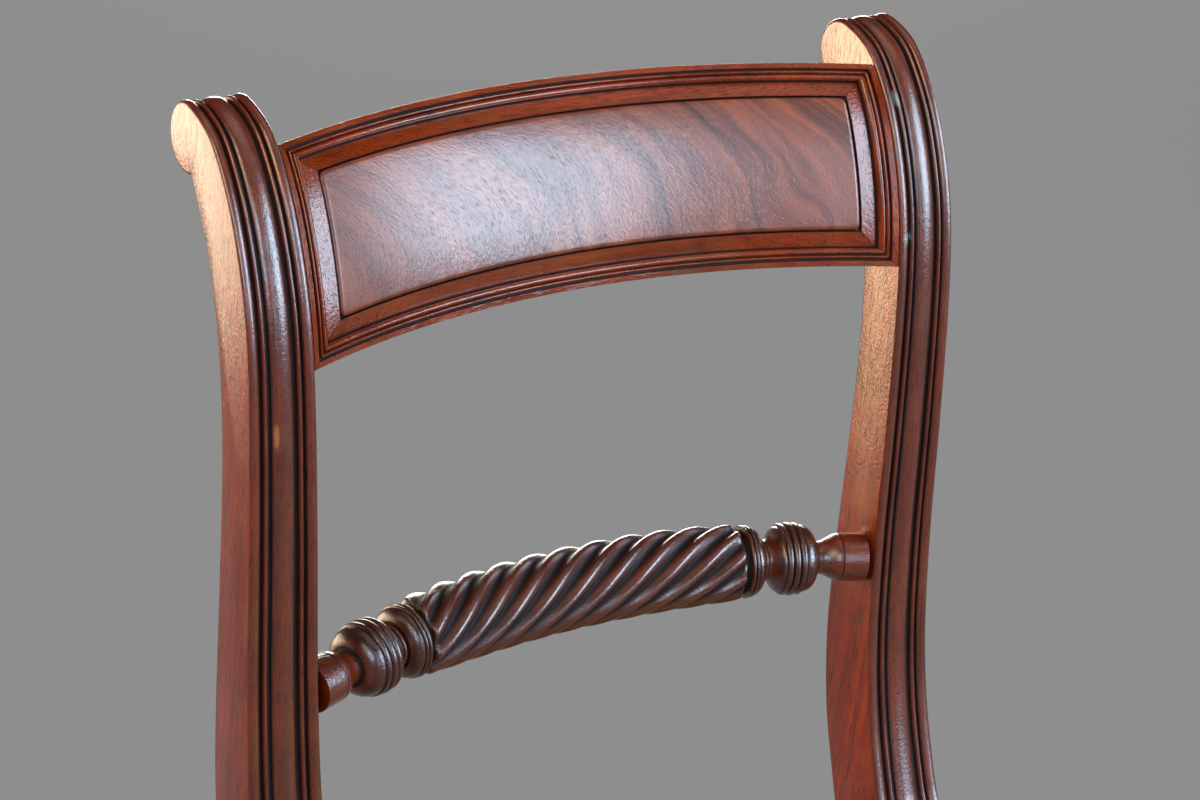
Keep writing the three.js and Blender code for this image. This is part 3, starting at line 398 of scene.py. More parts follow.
def plank(segments, x_at, fade_scroll=False):
    """Points of a plank cut to a side outline, with rounded arrises and reeded stretches.
    Row i is an outline point P with outward normal N and column j a share u across. The point is
    (x(u), P - N d), where d is the arris rounding r - sqrt(r^2 - (r - w)^2) plus the reed hollow.
    Where two stretches meet in a corner, N is their mitre (N1 + N2) / (1 + N1 . N2)."""
    arris = seat().arris
    outline = np.vstack([points for points, _ in segments])
    along = np.vstack([directions(points) for points, _ in segments])
    normals = np.stack([along[:, 1], -along[:, 0]], 1)
    reeded = np.concatenate([np.full(len(points), float(is_reeded)) for points, is_reeded in segments])
    ends = np.cumsum([len(points) for points, _ in segments]) - 1
    starts = (ends + 1) % len(outline)
    mitre = normals[ends] + normals[starts]
    mitre /= (1 + np.sum(normals[ends] * normals[starts], 1))[:, None]
    normals[ends] = normals[starts] = mitre
    y, z = outline.T
    normals *= np.sign(np.sum(y * np.roll(z, -1) - z * np.roll(y, -1)))
    if fade_scroll:
        last = len(segments[0][0])
        reeded[:last] *= np.clip((last - np.arange(last)) / FADE_POINTS, 0, 1) ** 0.5
    turn = np.linspace(0, math.pi / 2, ARRIS_COLUMNS + 1)[:-1]
    edge = arris / back().knee_width
    across = np.concatenate([edge * (1 - np.cos(turn)), np.linspace(edge, 1 - edge, REED_COLUMNS),
                             1 - edge * (1 - np.cos(turn[::-1]))])
    rounding = arris * np.concatenate([1 - np.sin(turn), np.zeros(REED_COLUMNS), 1 - np.sin(turn[::-1])])
    hollow = reed_hollow(across)[None, :] * reeded[:, None]
    inward = rounding[None, :] + hollow * back().reed_depth
    grid_y = outline[:, :1] - normals[:, :1] * inward
    grid_z = np.maximum(outline[:, 1:] - normals[:, 1:] * inward, 0)
    points = np.stack([x_at(across[None, :], grid_y, grid_z), grid_y, grid_z], -1).reshape(-1, 3)
    quads = grid_quads(*hollow.shape, wrap_rows=True)
    index = np.arange(hollow.size).reshape(hollow.shape)
    inside = (rounding < arris)[None, :]
    # The reed channels' depth, by which the mahogany paints shade with old wax into them
    values = {"hollow": hollow * inside, "dark": REED_WAX * reeded[:, None] * inside}
    return points, quads, [index[:, 0], index[::-1, -1]], values


def patches(points, places):
    """Cover of a few soft oval patches, each given by its x, z, half width and half height."""
    cover = np.zeros(len(points))
    for x, z, half_width, half_height in places:
        distance = np.hypot((points[:, 0] - x) / half_width, (points[:, 2] - z) / half_height)
        cover = np.maximum(cover, np.clip(2.2 - 2 * distance, 0, 1))
    return cover


def add_plank_pair(name, segments, x_at, axis, fade_scroll=False, filled=(), rubbed=()):
    """The right-hand plank and its mirror image, each standing for its solid."""
    points, quads, caps, values = plank(segments, x_at, fade_scroll)
    reeded = values["dark"].ravel() > 0
    bends = (RAIL_LOW - back().knee_fillet, RAIL_TOP + back().knee_fillet)
    for side, sign in (("right", 1), ("left", -1)):
        placed = points * (sign, 1, 1)
        marks = {"filled": patches(placed, filled) * reeded, "rubbed": patches(placed, rubbed) * reeded}
        made = add_object(f"{name}_{side}_carved", placed, quads, caps, {**values, **marks}, bends)
        dress_reeding(made.data, axis)
        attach(made, "frame")
        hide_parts(f"{name}_{side}")


def sweep(grid, values, name, material, node):
    """An object from rings of points, one ring for each station, closed round and at both ends."""
    rings = grid.shape[:2]
    index = np.arange(rings[0] * rings[1]).reshape(rings)
    values = {key: np.broadcast_to(value, rings) for key, value in values.items()}
    made = add_object(name, grid.reshape(-1, 3), grid_quads(*rings, wrap_columns=True),
                      [index[0], index[-1][::-1]], values)
    made.data.materials.append(material)
    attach(made, "frame")
    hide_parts(node)


# Tablet

# The moulding across, as shares of its width and thickness: the fillet's end, two beads, the slope's start
FILLET_END, SLOPE_START = 0.168, 0.52
BEADS = ((0.285, 0.045, 0.68, 1.06), (0.435, 0.085, 0.7, 1.14))
# Stations along the tablet, and up its end mouldings
LONG_STATIONS, SHORT_STATIONS = 97, 41


def tablet_levels():
    """Heights of the tablet's lower and upper edge."""
    high = CHAIR_TOP - back().tablet_drop
    return high - back().tablet_rise, high


def bow_back(x, half, bow, depth):
    """How far back a bowed rail lies: sqrt((R + depth)^2 - x^2) - (R - bow), R = (half^2 + bow^2) / 2 bow."""
    radius = (half ** 2 + bow ** 2) / (2 * bow)
    return np.sqrt((radius + depth) ** 2 - x ** 2) - (radius - bow)


class TabletSurface:
    """Places on the tablet from x, length up its face and depth behind the front of the posts."""

    def __init__(self):
        line = post_front(FINE)
        z = np.linspace(*tablet_levels(), 400)
        self.points = np.stack([np.interp(z, line[:, 1], line[:, 0]), z], 1)
        self.along = directions(self.points)
        self.ups = np.append(0, np.cumsum(np.linalg.norm(np.diff(self.points, axis=0), axis=1)))
        self.height = self.ups[-1]
        self.half = inner_x(tablet_levels()[0], 0)

    def half_at(self, up):
        """Half the tablet's width at a length up its face."""
        return inner_x(np.interp(up, self.ups, self.points[:, 1]), back().fit)

    def place(self, x, up, depth):
        """The face point F(up), moved back by the bow along y, and by the depth along the face's normal."""
        y, z = (np.interp(up, self.ups, self.points[:, k]) for k in (0, 1))
        ty, tz = (np.interp(up, self.ups, self.along[:, k]) for k in (0, 1))
        bow = bow_back(x, self.half, back().tablet_bow, 0)
        behind = bow_back(x, self.half, back().tablet_bow, depth) - bow
        return np.stack([x, y + bow + behind * tz, z - behind * ty], -1)


def moulding_rise(share):
    """Rise of the moulding over its bed, as a share of its thickness, from its outer edge inwards:
    a flat fillet, two half-round beads in a sunk channel, and a slope up to the panel."""
    fillet = np.where(share < FILLET_END, 1 - 0.12 * np.clip(1 - share / 0.02, 0, 1) ** 2, 0)
    slope = np.where(share > SLOPE_START, mix(0.5, 0.93, (share - 0.535) / 0.465), 0)
    channel = np.where(share < SLOPE_START, BEADS[0][2], 0)
    return np.max([fillet, *[bead(share, *sizes) for sizes in BEADS], slope, channel], 0)


def moulding_section():
    """The moulding's outline as distances from the outer edge, depths and hollowness."""
    s = back()
    edges = [middle + way * 0.002 for middle in (FILLET_END, SLOPE_START) for way in (-1, 1)]
    share = np.unique(np.concatenate([np.linspace(0, 1, 110), edges, np.linspace(0, 0.03, 6)]))
    rise = moulding_rise(share)
    bed = s.tablet_recess + s.moulding_thickness
    inward = np.concatenate([share, np.linspace(1, 0, 6)]) * s.moulding_width
    depth = np.concatenate([bed - s.moulding_thickness * rise, np.full(6, bed)])
    # Painted shade with old wax in the moulding's channels and at its foot beside the panel
    channel = np.clip((0.93 - rise) / 0.2, 0, 1) * (share < 0.56)
    foot = np.clip((share - 0.955) / 0.045, 0, 1)
    return inward, depth, np.concatenate([np.maximum(channel, foot), np.zeros(6)])


def add_mouldings(surface):
    """The four mitred mouldings round the panel."""
    gap = back().fit / 2
    inward, depth, hollow = moulding_section()
    side, share = np.linspace(-1, 1, LONG_STATIONS)[:, None], np.linspace(0, 1, SHORT_STATIONS)[:, None]
    runs = []
    for name, up in (("bottom", inward), ("top", surface.height - inward)):
        up = np.broadcast_to(up, (len(side), len(up)))
        runs.append((name, 0, side * (surface.half_at(up) - inward - gap), up))
    for name, sign in (("right", 1), ("left", -1)):
        up = mix(inward + gap, surface.height - inward - gap, share)
        runs.append((name, 2, sign * (surface.half_at(up) - inward), up))
    for name, axis, x, up in runs:
        node = f"tablet_moulding_{name}"
        sweep(surface.place(x, up, depth), {"hollow": hollow}, f"{node}_carved", mahogany(axis), node)


def add_tablet_core(surface):
    """The bowed board behind the mouldings, its back edges rounded."""
    s = back()
    height, front = surface.height, s.tablet_recess + s.moulding_thickness + s.fit
    soft, rows = 1.5 * MM, 40
    corner = soft * (1 - np.cos(np.linspace(0, math.pi / 2, 6)))
    drop = np.concatenate([corner[::-1], np.zeros(rows - 2), corner])
    up = np.concatenate([np.linspace(0, height, rows), height - corner,
                         np.linspace(height - soft, soft, rows)[1:-1], corner[::-1]])
    depth = np.concatenate([np.full(rows, front), front + s.core_thickness - drop])
    side = np.linspace(-1, 1, 81)[:, None]
    up = np.broadcast_to(up, (len(side), len(depth)))
    grid = surface.place(side * surface.half_at(up), up, depth)
    sweep(grid, {"hollow": 0.0}, "tablet_rail_shaped", mahogany(0), "tablet_rail")


def add_panel(surface):
    """The raised panel. Its face falls away at the edges by r - sqrt(r^2 - (r - d)^2) at a distance d
    from its rounded outline, and its values give the place on the face in metres."""
    s = back()
    border, soft, corner = s.moulding_width + s.fit, 3 * MM, 4 * MM
    low, high = border, surface.height - border
    bed = s.tablet_recess + s.moulding_thickness
    easing = np.array([0, 0.02, 0.08, 0.18, 0.32, 0.5, 0.7, 0.9]) * soft
    half = surface.half_at(surface.height / 2) - border
    v, u = np.meshgrid(*(np.concatenate([start + easing, np.linspace(start + soft, end - soft, steps),
                                         end - easing[::-1]])
                         for start, end, steps in ((low, high, 56), (-half, half, 150))), indexing="ij")
    to_side, to_end = np.minimum(v - low, high - v), half - np.abs(u)
    near = np.where((to_side < corner) & (to_end < corner),
                    corner - np.hypot(corner - to_side, corner - to_end), np.minimum(to_side, to_end))
    short = np.clip(soft - near, 0, soft)
    depth = bed - s.panel_rise + soft - np.sqrt(soft ** 2 - short ** 2)
    x = u / half * (surface.half_at(v) - border)
    rim = np.pad(np.ones(v.shape), 1) < 0.5
    x, v, depth = (np.pad(f, 1, mode="edge") for f in (x, v, depth))
    face = surface.place(x, v, np.where(rim, bed, depth))
    behind = surface.place(x, v, np.full(x.shape, bed))
    quads = grid_quads(*x.shape)
    # Painted shade with old wax along the panel's edge, where it rises out of the moulding
    hollow = np.clip(1 - np.pad(near, 1) / (1.2 * MM), 0, 1)
    values = {"hollow": hollow, "along": x, "up": v - surface.height / 2}
    made = add_object("tablet_panel_figured", np.concatenate([face.reshape(-1, 3), behind.reshape(-1, 3)]),
                      np.concatenate([quads, quads[:, ::-1] + x.size]),
                      values={key: np.tile(field.ravel(), 2) for key, field in values.items()})
    made.data.materials.append(flame_veneer())
    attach(made, "frame")
    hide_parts("tablet_panel")


# Rope-carved rail

# Rings along the carving and points round each strand
ROPE_RINGS, STRAND_POINTS = 261, 16
# At the ends of the carving the hollows run out, and the strands are rounded down by a drop
RUN_OUT, ROUND_LENGTH, ROUND_DROP = 3 * MM, 2.2 * MM, 3.4 * MM
# How dark the strands and the turning are with wax, and the radius from which the turning is darker
STRAND_WAX, STUB_WAX, TURNING_WAX, STUB_RADIUS = 0.6, 0.35, 0.75, 14.2 * MM
GROOVE_RADIUS = 18.4 * MM


def turned_profile():
    """The turned end as (length from the post, radius), in millimetres: a stub with a cut ring, a cone
    to a neck, a ball with three rings, a second neck, a dome with two rings, and the carving's groove."""
    def ring(start, width, base, height):
        t = np.linspace(0, 1, 9)
        return [*zip(start + width * t, base + height * np.sqrt(np.maximum(1 - (2 * t - 1) ** 2, 0)))]

    def blend(start, end, count, power=1.0):
        t = np.linspace(0, 1, count)
        ease = (0.5 - 0.5 * np.cos(math.pi * t)) ** power
        return [*zip(mix(start[0], end[0], t), mix(start[1], end[1], ease))]

    def dome(start, end, steps):
        t = np.linspace(0, math.pi / 2, steps + 1)[:-1]
        return [*zip(mix(start[0], end[0], 1 - np.cos(t)), mix(start[1], end[1], np.sin(t)))]

    return np.array([
        (-2, 13.8), (0, 13.9), (8, 14.0), (14.8, 13.9), (15.1, 13.5), (15.6, 13.5), (15.9, 13.9),
        *blend((16.6, 13.8), (28.5, 9.4), 15, 0.75), (29.4, 9.3), (30.2, 9.9),
        *dome((30.6, 10.4), (39.6, 19.6), 16),
        *ring(39.8, 4.0, 19.2, 1.6), *ring(44.1, 4.0, 19.5, 1.7), *ring(48.4, 4.0, 19.1, 1.6),
        *blend((52.6, 19.2), (60.5, 11.6), 12), *ring(61.4, 2.2, 11.4, 1.1),
        *dome((63.9, 12.0), (69.8, 19.9), 14), *ring(70.0, 2.2, 19.3, 1.4), *ring(72.4, 2.4, 19.4, 1.6),
        (75.1, 18.2), (75.6, 17.7), (77.2, 17.7), (77.8, 18.2)])


def rope_grid():
    """Rings of the rope rail along its bowed axis, with how hollow and how dark each point is.
    The axis is an arc of radius R. Round it, at angle a from the top, the radius is
    r - cut * ((1 + cos(n (a - twist))) / 2)^1.15, where the twist grows evenly along the carved length."""
    s = bpy.context.scene.chair_rope
    z_axis = tablet_levels()[0] - s.drop
    line = post_front(FINE)
    y_end = np.interp(z_axis, line[:, 1], line[:, 0]) + s.inset
    half = inner_x(z_axis, 0)
    radius = (half ** 2 + s.bow ** 2) / (2 * s.bow)
    half_length = radius * math.asin(half / radius)
    turned = turned_profile() * MM
    plain = np.zeros(len(turned))
    carved_half = half_length - turned[-1, 0]
    share = np.linspace(0, 1, ROPE_RINGS)
    to_end = np.minimum(share, 1 - share) * 2 * carved_half
    strand_radius = (mix(s.end_radius, s.radius, 1 - (2 * share - 1) ** 4)
                     - ROUND_DROP * (1 - np.clip(to_end / ROUND_LENGTH, 0, 1)) ** 2)
    along = np.concatenate([turned[:, 0] - half_length, mix(-carved_half, carved_half, share),
                            half_length - turned[::-1, 0]])
    rings = np.concatenate([turned[:, 1], strand_radius, turned[::-1, 1]])
    depth = np.concatenate([plain, np.clip(to_end / RUN_OUT, 0, 1) ** 0.5, plain])
    twist = np.concatenate([plain, share, plain + 1]) * s.turns * 2 * math.pi
    angle = np.linspace(0, 2 * math.pi, STRAND_POINTS * s.strands + 1)[:-1]
    hollow = ((1 + np.cos(s.strands * angle)) / 2) ** 1.15 * depth[:, None]
    reach = rings[:, None] - s.cut * hollow
    turn = angle[None, :] + twist[:, None]
    bend = np.clip(along, -half_length, half_length) / radius
    centre = np.stack([radius * np.sin(bend), y_end + s.bow - radius * (1 - np.cos(bend)),
                       np.full(len(along), z_axis)], 1)
    outward = np.stack([np.sin(bend), np.cos(bend), 0 * bend], 1)
    points = centre[:, None, :] + (reach * np.sin(turn))[..., None] * outward[:, None, :]
    points[..., 2] += reach * np.cos(turn)
    limit = inner_x(points[..., 2], back().fit)
    points[..., 0] = np.clip(points[..., 0], -limit, limit)
    # Painted shade with old wax lies in the groove beside the carving, and wherever the turning is lower than
    # what is near it
    beside = np.abs(np.abs(along) - carved_half) < RUN_OUT
    groove = np.clip((GROOVE_RADIUS - rings) / (0.5 * MM), 0, 1) * beside
    near = np.interp(along[:, None] + np.linspace(-1.2, 1.2, 9) * MM, along, rings).mean(1)
    groove = np.maximum(groove, np.clip((near - rings) / (0.35 * MM), 0, 1) * (depth < 0.5))
    turning = mix(STUB_WAX, TURNING_WAX, np.clip((rings - STUB_RADIUS) / (2 * MM), 0, 1))
    dark = np.where(depth > 0, STRAND_WAX, turning)
    # The hollows between the strands get painted shade with old wax by this value
    return points, {"hollow": np.maximum(hollow ** 1.2, groove[:, None]), "dark": dark[:, None]}


# Materials

def grain_scale(axis, along, across):
    """Scales that make a pattern so many mm long on the grain's axis and so many mm wide on the others."""
    return [1 / ((along if k == axis else across) * MM) for k in range(3)]


class Finish:
    """A new material for one finish, with short ways to add its nodes."""

    def __init__(self, name):
        self.material = bpy.data.materials.new(name)
        self.material.use_nodes = True
        self.tree = self.material.node_tree
        self.shader = self.tree.nodes["Principled BSDF"]
        self.colours = bpy.context.scene.chair_colours

    def feed(self, node, inputs):
        """Sets a node's inputs to values, or links sockets to them."""
        for key, value in inputs.items():
            if isinstance(value, bpy.types.NodeSocket):
                self.tree.links.new(value, node.inputs[key])
            else:
                node.inputs[key].default_value = value

    def add(self, kind, inputs, output=0, **settings):
        """Adds a node with its settings and inputs, and gives one of its outputs."""
        node = self.tree.nodes.new(f"ShaderNode{kind}")
        for key, value in settings.items():
            setattr(node, key, value)
        self.feed(node, inputs)
        return node.outputs[output]

    def shade(self, inputs, relief=None):
        """Feeds the shader, with the same relief in the wood and in its polish, and gives the material."""
        self.feed(self.shader, inputs)
        if relief is not None:
            self.feed(self.shader, {"Normal": relief, "Coat Normal": relief})
        return self.material

    def place(self):
        """A place on the object, in metres."""
        return self.add("TexCoord", {}, "Object")

    def value(self, name):
        """A value that the mesh keeps at its points."""
        return self.add("Attribute", {}, "Fac", attribute_name=name)

    def noise(self, place, scale=1.0, detail=2.0, roughness=0.5, distortion=0.0, stretch=None, output="Fac"):
        """Soft noise at a place, which is first scaled by a stretch for each axis."""
        if stretch:
            place = self.add("Mapping", {"Vector": place, "Scale": stretch})
        return self.add("TexNoise", {"Vector": place, "Scale": scale, "Detail": detail,
                                     "Roughness": roughness, "Distortion": distortion}, output)

    def ramp(self, value, low=0.0, high=1.0, start=0.0, end=1.0):
        """A value's way from low to high, as a way from start to end."""
        return self.add("MapRange", {"Value": value, "From Min": low, "From Max": high, "To Min": start,
                                     "To Max": end})

    def sum(self, operation, *values):
        """A sum done on values."""
        return self.add("Math", dict(enumerate(values)), operation=operation)

    def scaled(self, value, factor):
        """A value times another."""
        return self.sum("MULTIPLY", value, factor)

    def mix(self, under, over, share):
        """One colour laid over another by a share."""
        under, over = (c if isinstance(c, bpy.types.NodeSocket) else (*c, 1.0) for c in (under, over))
        return self.add("Mix", {0: share, 6: under, 7: over}, 2, data_type="RGBA")

    def bump(self, height, strength, distance):
        """Relief of a strength and a depth in metres."""
        return self.add("Bump", {"Height": height, "Strength": strength, "Distance": distance})

    def sunk(self, height, strength, distance, skin):
        """Relief sunk into a skin that has its own relief."""
        return self.add("Bump", {"Height": height, "Strength": strength, "Distance": distance,
                                 "Normal": skin}, invert=True)


def mahogany(axis, carved=False):
    """Cuban mahogany, oiled and waxed, made once for each axis of its grain: dark red-brown ribbons a few
    millimetres wide, short dark pores along the grain, near-black old wax with painted shade in the hollows,
    the deeper the darker, and a satin gloss that shows soft window light. Its skin has the fine wrinkles of
    old polish. Carved, turned and reeded wood holds more wax and is rubbed less, so its gloss is stronger and
    softer."""
    name = f"Waxed mahogany, {'carved' if carved else 'planed'}, grain along {'xyz'[axis]}"
    if name in bpy.data.materials:
        return bpy.data.materials[name]
    m = Finish(name)
    c, place = m.colours, m.place()
    ribbon = m.noise(place, detail=6.0, roughness=0.66, distortion=0.15, stretch=grain_scale(axis, 210, 9))
    colour = m.mix(c.heart, c.sap, m.ramp(ribbon, 0.2, 0.78))
    # Real pores are 0.1 to 0.2 mm wide; drawn at 0.8 mm so that they show
    pore = m.ramp(m.noise(place, stretch=grain_scale(axis, 13, 0.8)), 0.54, 0.68)
    colour = m.mix(colour, c.heart, m.scaled(pore, 0.85))
    handled = m.noise(place, 24.0, 6.0, 0.6)
    thin = m.sum("MAXIMUM", m.scaled(m.ramp(handled, 0.48, 0.75), 0.16), m.value("rubbed"))
    colour = m.mix(colour, c.worn, thin)
    colour = m.mix(colour, c.wax, m.value("dark"))
    # Painted shade with old wax: the deeper a hollow, the darker the wood is painted towards the wax colour
    wax_and_shade = m.ramp(m.value("hollow"), 0.38, 0.82)
    colour = m.mix(colour, c.wax, m.scaled(wax_and_shade, 0.94))
    skin = m.bump(m.noise(place, 520.0, 4.0, 0.6), 0.8, 0.2 * MM)
    return m.shade({
        "Base Color": m.mix(colour, c.filler, m.value("filled")),
        # The old wax in the hollows is dull
        "Roughness": m.sum("MULTIPLY_ADD", wax_and_shade, 0.5, m.ramp(handled, 0.35, 0.7, 0.12, 0.28)),
        "Coat Weight": m.ramp(wax_and_shade, start=0.75, end=0.0),
        "IOR": 1.35, "Coat IOR": 1.72 if carved else 1.42, "Coat Roughness": 0.28 if carved else 0.1,
    }, m.sunk(pore, 0.5, 0.1 * MM, skin))


def flame_veneer():
    """Flame mahogany veneer, French polished, under a clear gloss with fine pores. Its streaks run up
    the panel and lean over towards the top: noise stretched along the height h is read at
    (x + 0.65 h + 9 h^2, h)."""
    m = Finish("Flame mahogany, French polished")
    c, along, up = m.colours, m.value("along"), m.value("up")
    lean = m.sum("MULTIPLY_ADD", up, 0.65, along)
    across = m.sum("MULTIPLY_ADD", m.scaled(up, up), 9.0, lean)
    place = m.add("CombineXYZ", {"X": across, "Y": up})
    drift = m.noise(place, 14.0, 2.0, 0.45, output="Color")
    shift = m.add("VectorMath", {0: drift, 1: (0.05, 0.03, 0.0)}, operation="MULTIPLY")
    curled = m.add("VectorMath", {0: place, 1: shift}, operation="ADD")
    wide = m.noise(curled, detail=5.0, roughness=0.6, stretch=(34, 8, 1))
    fine = m.sum("SUBTRACT", m.noise(curled, detail=3.0, stretch=(150, 13, 1)), 0.5)
    # The streaks show most at the right of the middle
    streaks = m.sum("MULTIPLY_ADD", fine, m.ramp(along, -0.08, 0.1, 0.3, 0.75), wide)
    tone = m.ramp(streaks, 0.26, 0.7)
    colour = m.mix(c.flame_dark, c.flame_light, tone)
    # Real pores are 0.1 to 0.2 mm wide; drawn at 0.5 mm so that they show
    pore = m.ramp(m.noise(curled, detail=1.0, stretch=(1900, 260, 1)), 0.56, 0.7)
    colour = m.mix(colour, c.heart, m.scaled(pore, 0.5))
    # Old polish shrinks into fine wrinkles about a millimetre wide
    skin = m.bump(m.noise(place, detail=4.0, roughness=0.6, stretch=(460, 380, 1)), 1.0, 0.13 * MM)
    # The polish is thinner over the dark streaks, and handling has worn it at the left end
    polish = m.scaled(m.ramp(tone, start=0.55, end=0.8), m.ramp(lean, -0.155, -0.1, 0.2))
    # The panel's edge is painted darker: painted shade with old wax
    return m.shade({"Base Color": m.mix(colour, c.wax, m.scaled(m.value("hollow"), 0.85)),
                    "Roughness": 0.4, "IOR": 1.5, "Coat Weight": polish, "Coat Roughness": 0.2},
                   m.sunk(pore, 0.45, 0.1 * MM, skin))


def bare_beech(axis):
    """Beech, planed and left bare: pale tan with fine short flecks along the grain and no gloss."""
    m = Finish(f"Bare beech, grain along {'xy'[axis]}")
    fleck = m.noise(m.place(), detail=4.0, stretch=grain_scale(axis, 14, 1.0))
    shade = [0.55 * v for v in m.colours.beech]
    return m.shade({"Base Color": m.mix(m.colours.beech, shade, m.ramp(fleck, 0.35, 0.75, end=0.45)),
                    "Roughness": 0.65})


def woven(name, light, shade, spacing, roughness):
    """Plain-woven cloth: threads over and under along x + z and y + z, with shaded gaps and a soft nap."""
    m = Finish(name)
    place = m.place()
    x, y, z = m.add("SeparateXYZ", {0: place}).node.outputs
    waves = [m.sum("SINE", m.scaled(m.sum("ADD", way, z), math.pi / spacing)) for way in (x, y)]
    height = m.ramp(m.scaled(*waves), -1.0)
    tone = m.ramp(m.scaled(height, m.noise(place, 240.0)), 0.05, 0.45)
    return m.shade({"Base Color": m.mix(shade, light, tone), "Roughness": roughness, "Sheen Weight": 0.2,
                    "Normal": m.bump(height, 0.6, 0.25 * spacing)})


def cover_cloth():
    """The cover's cloth, made once."""
    name = "Wool rep, plain woven"
    c = bpy.context.scene.chair_colours
    return bpy.data.materials.get(name) or woven(name, c.cover, c.cover_shade, seat().thread, 0.9)


def plain_steel():
    """Mild steel screws, turned and left plain: grey metal with a dull shine."""
    m = Finish("Mild steel, turned")
    return m.shade({"Base Color": (*m.colours.steel, 1.0), "Metallic": 1.0, "Roughness": 0.4})


def even_paper():
    """Matt paper for the floor. Seen directly or in a gloss, most of it is an even tone, so that it has no
    hot spots, and the rest is lit at half its colour, so that it still takes the chair's shadow."""
    m = Finish("Matt paper floor")
    colour = m.colours.floor
    half = (*[0.5 * v for v in colour], 1.0)
    lit = m.shade({"Base Color": half, "Roughness": 0.9, "Specular IOR Level": 0.1})
    rays = m.add("LightPath", {}).node.outputs
    seen = m.sum("MAXIMUM", rays["Is Camera Ray"], rays["Is Glossy Ray"])
    seen = m.sum("MAXIMUM", seen, rays["Is Transmission Ray"])
    even = m.add("Emission", {"Color": (*colour, 1.0), "Strength": 1.0})
    both = m.add("MixShader", {0: m.scaled(seen, 0.85), 1: m.shader.outputs[0], 2: even})
    m.feed(m.tree.nodes["Material Output"], {"Surface": both})
    return lit


def dress_reeding(mesh, axis):
    """Gives a mesh planed mahogany, and carved mahogany on the faces that its values call dark."""
    mesh.materials.append(mahogany(axis))
    mesh.materials.append(mahogany(axis, carved=True))
    dark = read(mesh.attributes["dark"].data, "value")[read(mesh.loops, "vertex_index", kind=np.int32)]
    least = np.minimum.reduceat(dark, read(mesh.polygons, "loop_start", kind=np.int32))
    mesh.polygons.foreach_set("material_index", (least > WAXED).astype(np.int32))


def dress(mesh, material):
    """Gives a mesh one material."""
    mesh.materials.clear()
    mesh.materials.append(material)


def merged_copy(node_name, flat=False):
    """A copy of a solid's mesh with its doubles merged and, if asked, its flat sides made one face each."""
    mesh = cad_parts[node_name].data.copy()
    work = bmesh.new()
    work.from_mesh(mesh)
    bmesh.ops.remove_doubles(work, verts=work.verts, dist=1e-6)
    if flat:
        bmesh.ops.dissolve_limit(work, angle_limit=math.radians(1), verts=work.verts, edges=work.edges)
    work.to_mesh(mesh)
    work.free()
    return mesh


def eased_copy(node_name, material, width, body="frame"):
    """A copy of a solid with its edges eased by a small bevel, which stands for it."""
    made = new_object(f"{node_name}_eased", merged_copy(node_name, flat=True))
    dress(made.data, material)
    bevel = made.modifiers.new("Eased edges", "BEVEL")
    bevel.width = width
    bevel.segments = 2
    bevel.limit_method = "ANGLE"
    bevel.angle_limit = math.radians(40)
    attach(made, body)
    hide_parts(node_name)
    return made


# Seat cover and stuffing

# Heights of the pad's foot, which stays as it is, and of the part that is tacked down
PAD_FOOT, TACKED = 9 * MM, 3 * MM
STUFFING_FRAMES = 20


def cover_outside(mesh, cloth):
    """Wraps the cover over the top and the outer sides of a seat frame member."""
    mesh.materials.append(cloth)
    normals, centres = read(mesh.polygons, "normal", 3), read(mesh.polygons, "center", 3)
    middle = (np.array(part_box("seat_frame_left")[0]) + np.array(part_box("seat_frame_right")[1])) / 2
    outward = np.sum(normals[:, :2] * (centres - middle)[:, :2], 1) > 0.1
    covered = (normals[:, 2] > 0.5) | (outward & (normals[:, 2] > -0.5))
    mesh.polygons.foreach_set("material_index", covered.astype(np.int32))


# The cover's edge as insets and heights in millimetres, up outside the cloth and down inside it
COVER_EDGE = [(0.8, 0.2), (0.9, 2.2), (1.8, 5), (3.8, 8), (7, 10.5), (9, 11.5),
              (9, 10), (6.5, 8.8), (4.2, 6.4), (3, 3.6), (2.6, 0.2)]


def add_cover_edge(cloth):
    """The edge of the cover, drawn down from the pad to the frame. A thin closed profile of insets and
    heights is carried round the frame's plan, whose corners are the curves C + (1-t)^2 A + t^2 B."""
    front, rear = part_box("seat_frame_front")[0].y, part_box("seat_frame_back")[1].y
    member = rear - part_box("seat_frame_back")[0].y
    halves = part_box("seat_frame_right")[1].x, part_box("seat_frame_back")[1].x + member / 2
    corners = np.array([(halves[0], front), (halves[1], rear), (-halves[1], rear), (-halves[0], front)])
    t = np.linspace(0, 1, 13)[:, None]
    plan = []
    for corner, before, after in zip(corners, np.roll(corners, 1, 0), np.roll(corners, -1, 0)):
        back_way, on_way = ((end - corner) / np.linalg.norm(end - corner) for end in (before, after))
        plan.append(corner + member / 4 * ((1 - t) ** 2 * back_way + t ** 2 * on_way))
    plan = np.vstack(plan)
    along = np.roll(plan, -1, 0) - np.roll(plan, 1, 0)
    along /= np.linalg.norm(along, axis=1)[:, None]
    inward = np.stack([-along[:, 1], along[:, 0]], 1)
    profile = np.array(COVER_EDGE) * MM
    grid = np.empty((len(plan), len(profile), 3))
    grid[..., :2] = plan[:, None] + profile[None, :, :1] * inward[:, None]
    grid[..., 2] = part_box("seat_frame_back")[1].z + profile[:, 1]
    made = add_object("seat_cover_edge", grid.reshape(-1, 3),
                      grid_quads(*grid.shape[:2], wrap_rows=True, wrap_columns=True))
    made.data.materials.append(cloth)
    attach(made, "seat")


def apply_modifiers(made):
    """Puts an object's evaluated shape into its mesh and takes its modifiers off."""
    shaped = bpy.data.meshes.new_from_object(made.evaluated_get(bpy.context.evaluated_depsgraph_get()))
    made.modifiers.clear()
    made.data = shaped


def group_points(pad, name, chosen):
    """A vertex group of the chosen points."""
    pad.vertex_groups.new(name=name).add(np.flatnonzero(chosen).tolist(), 1.0, "ADD")


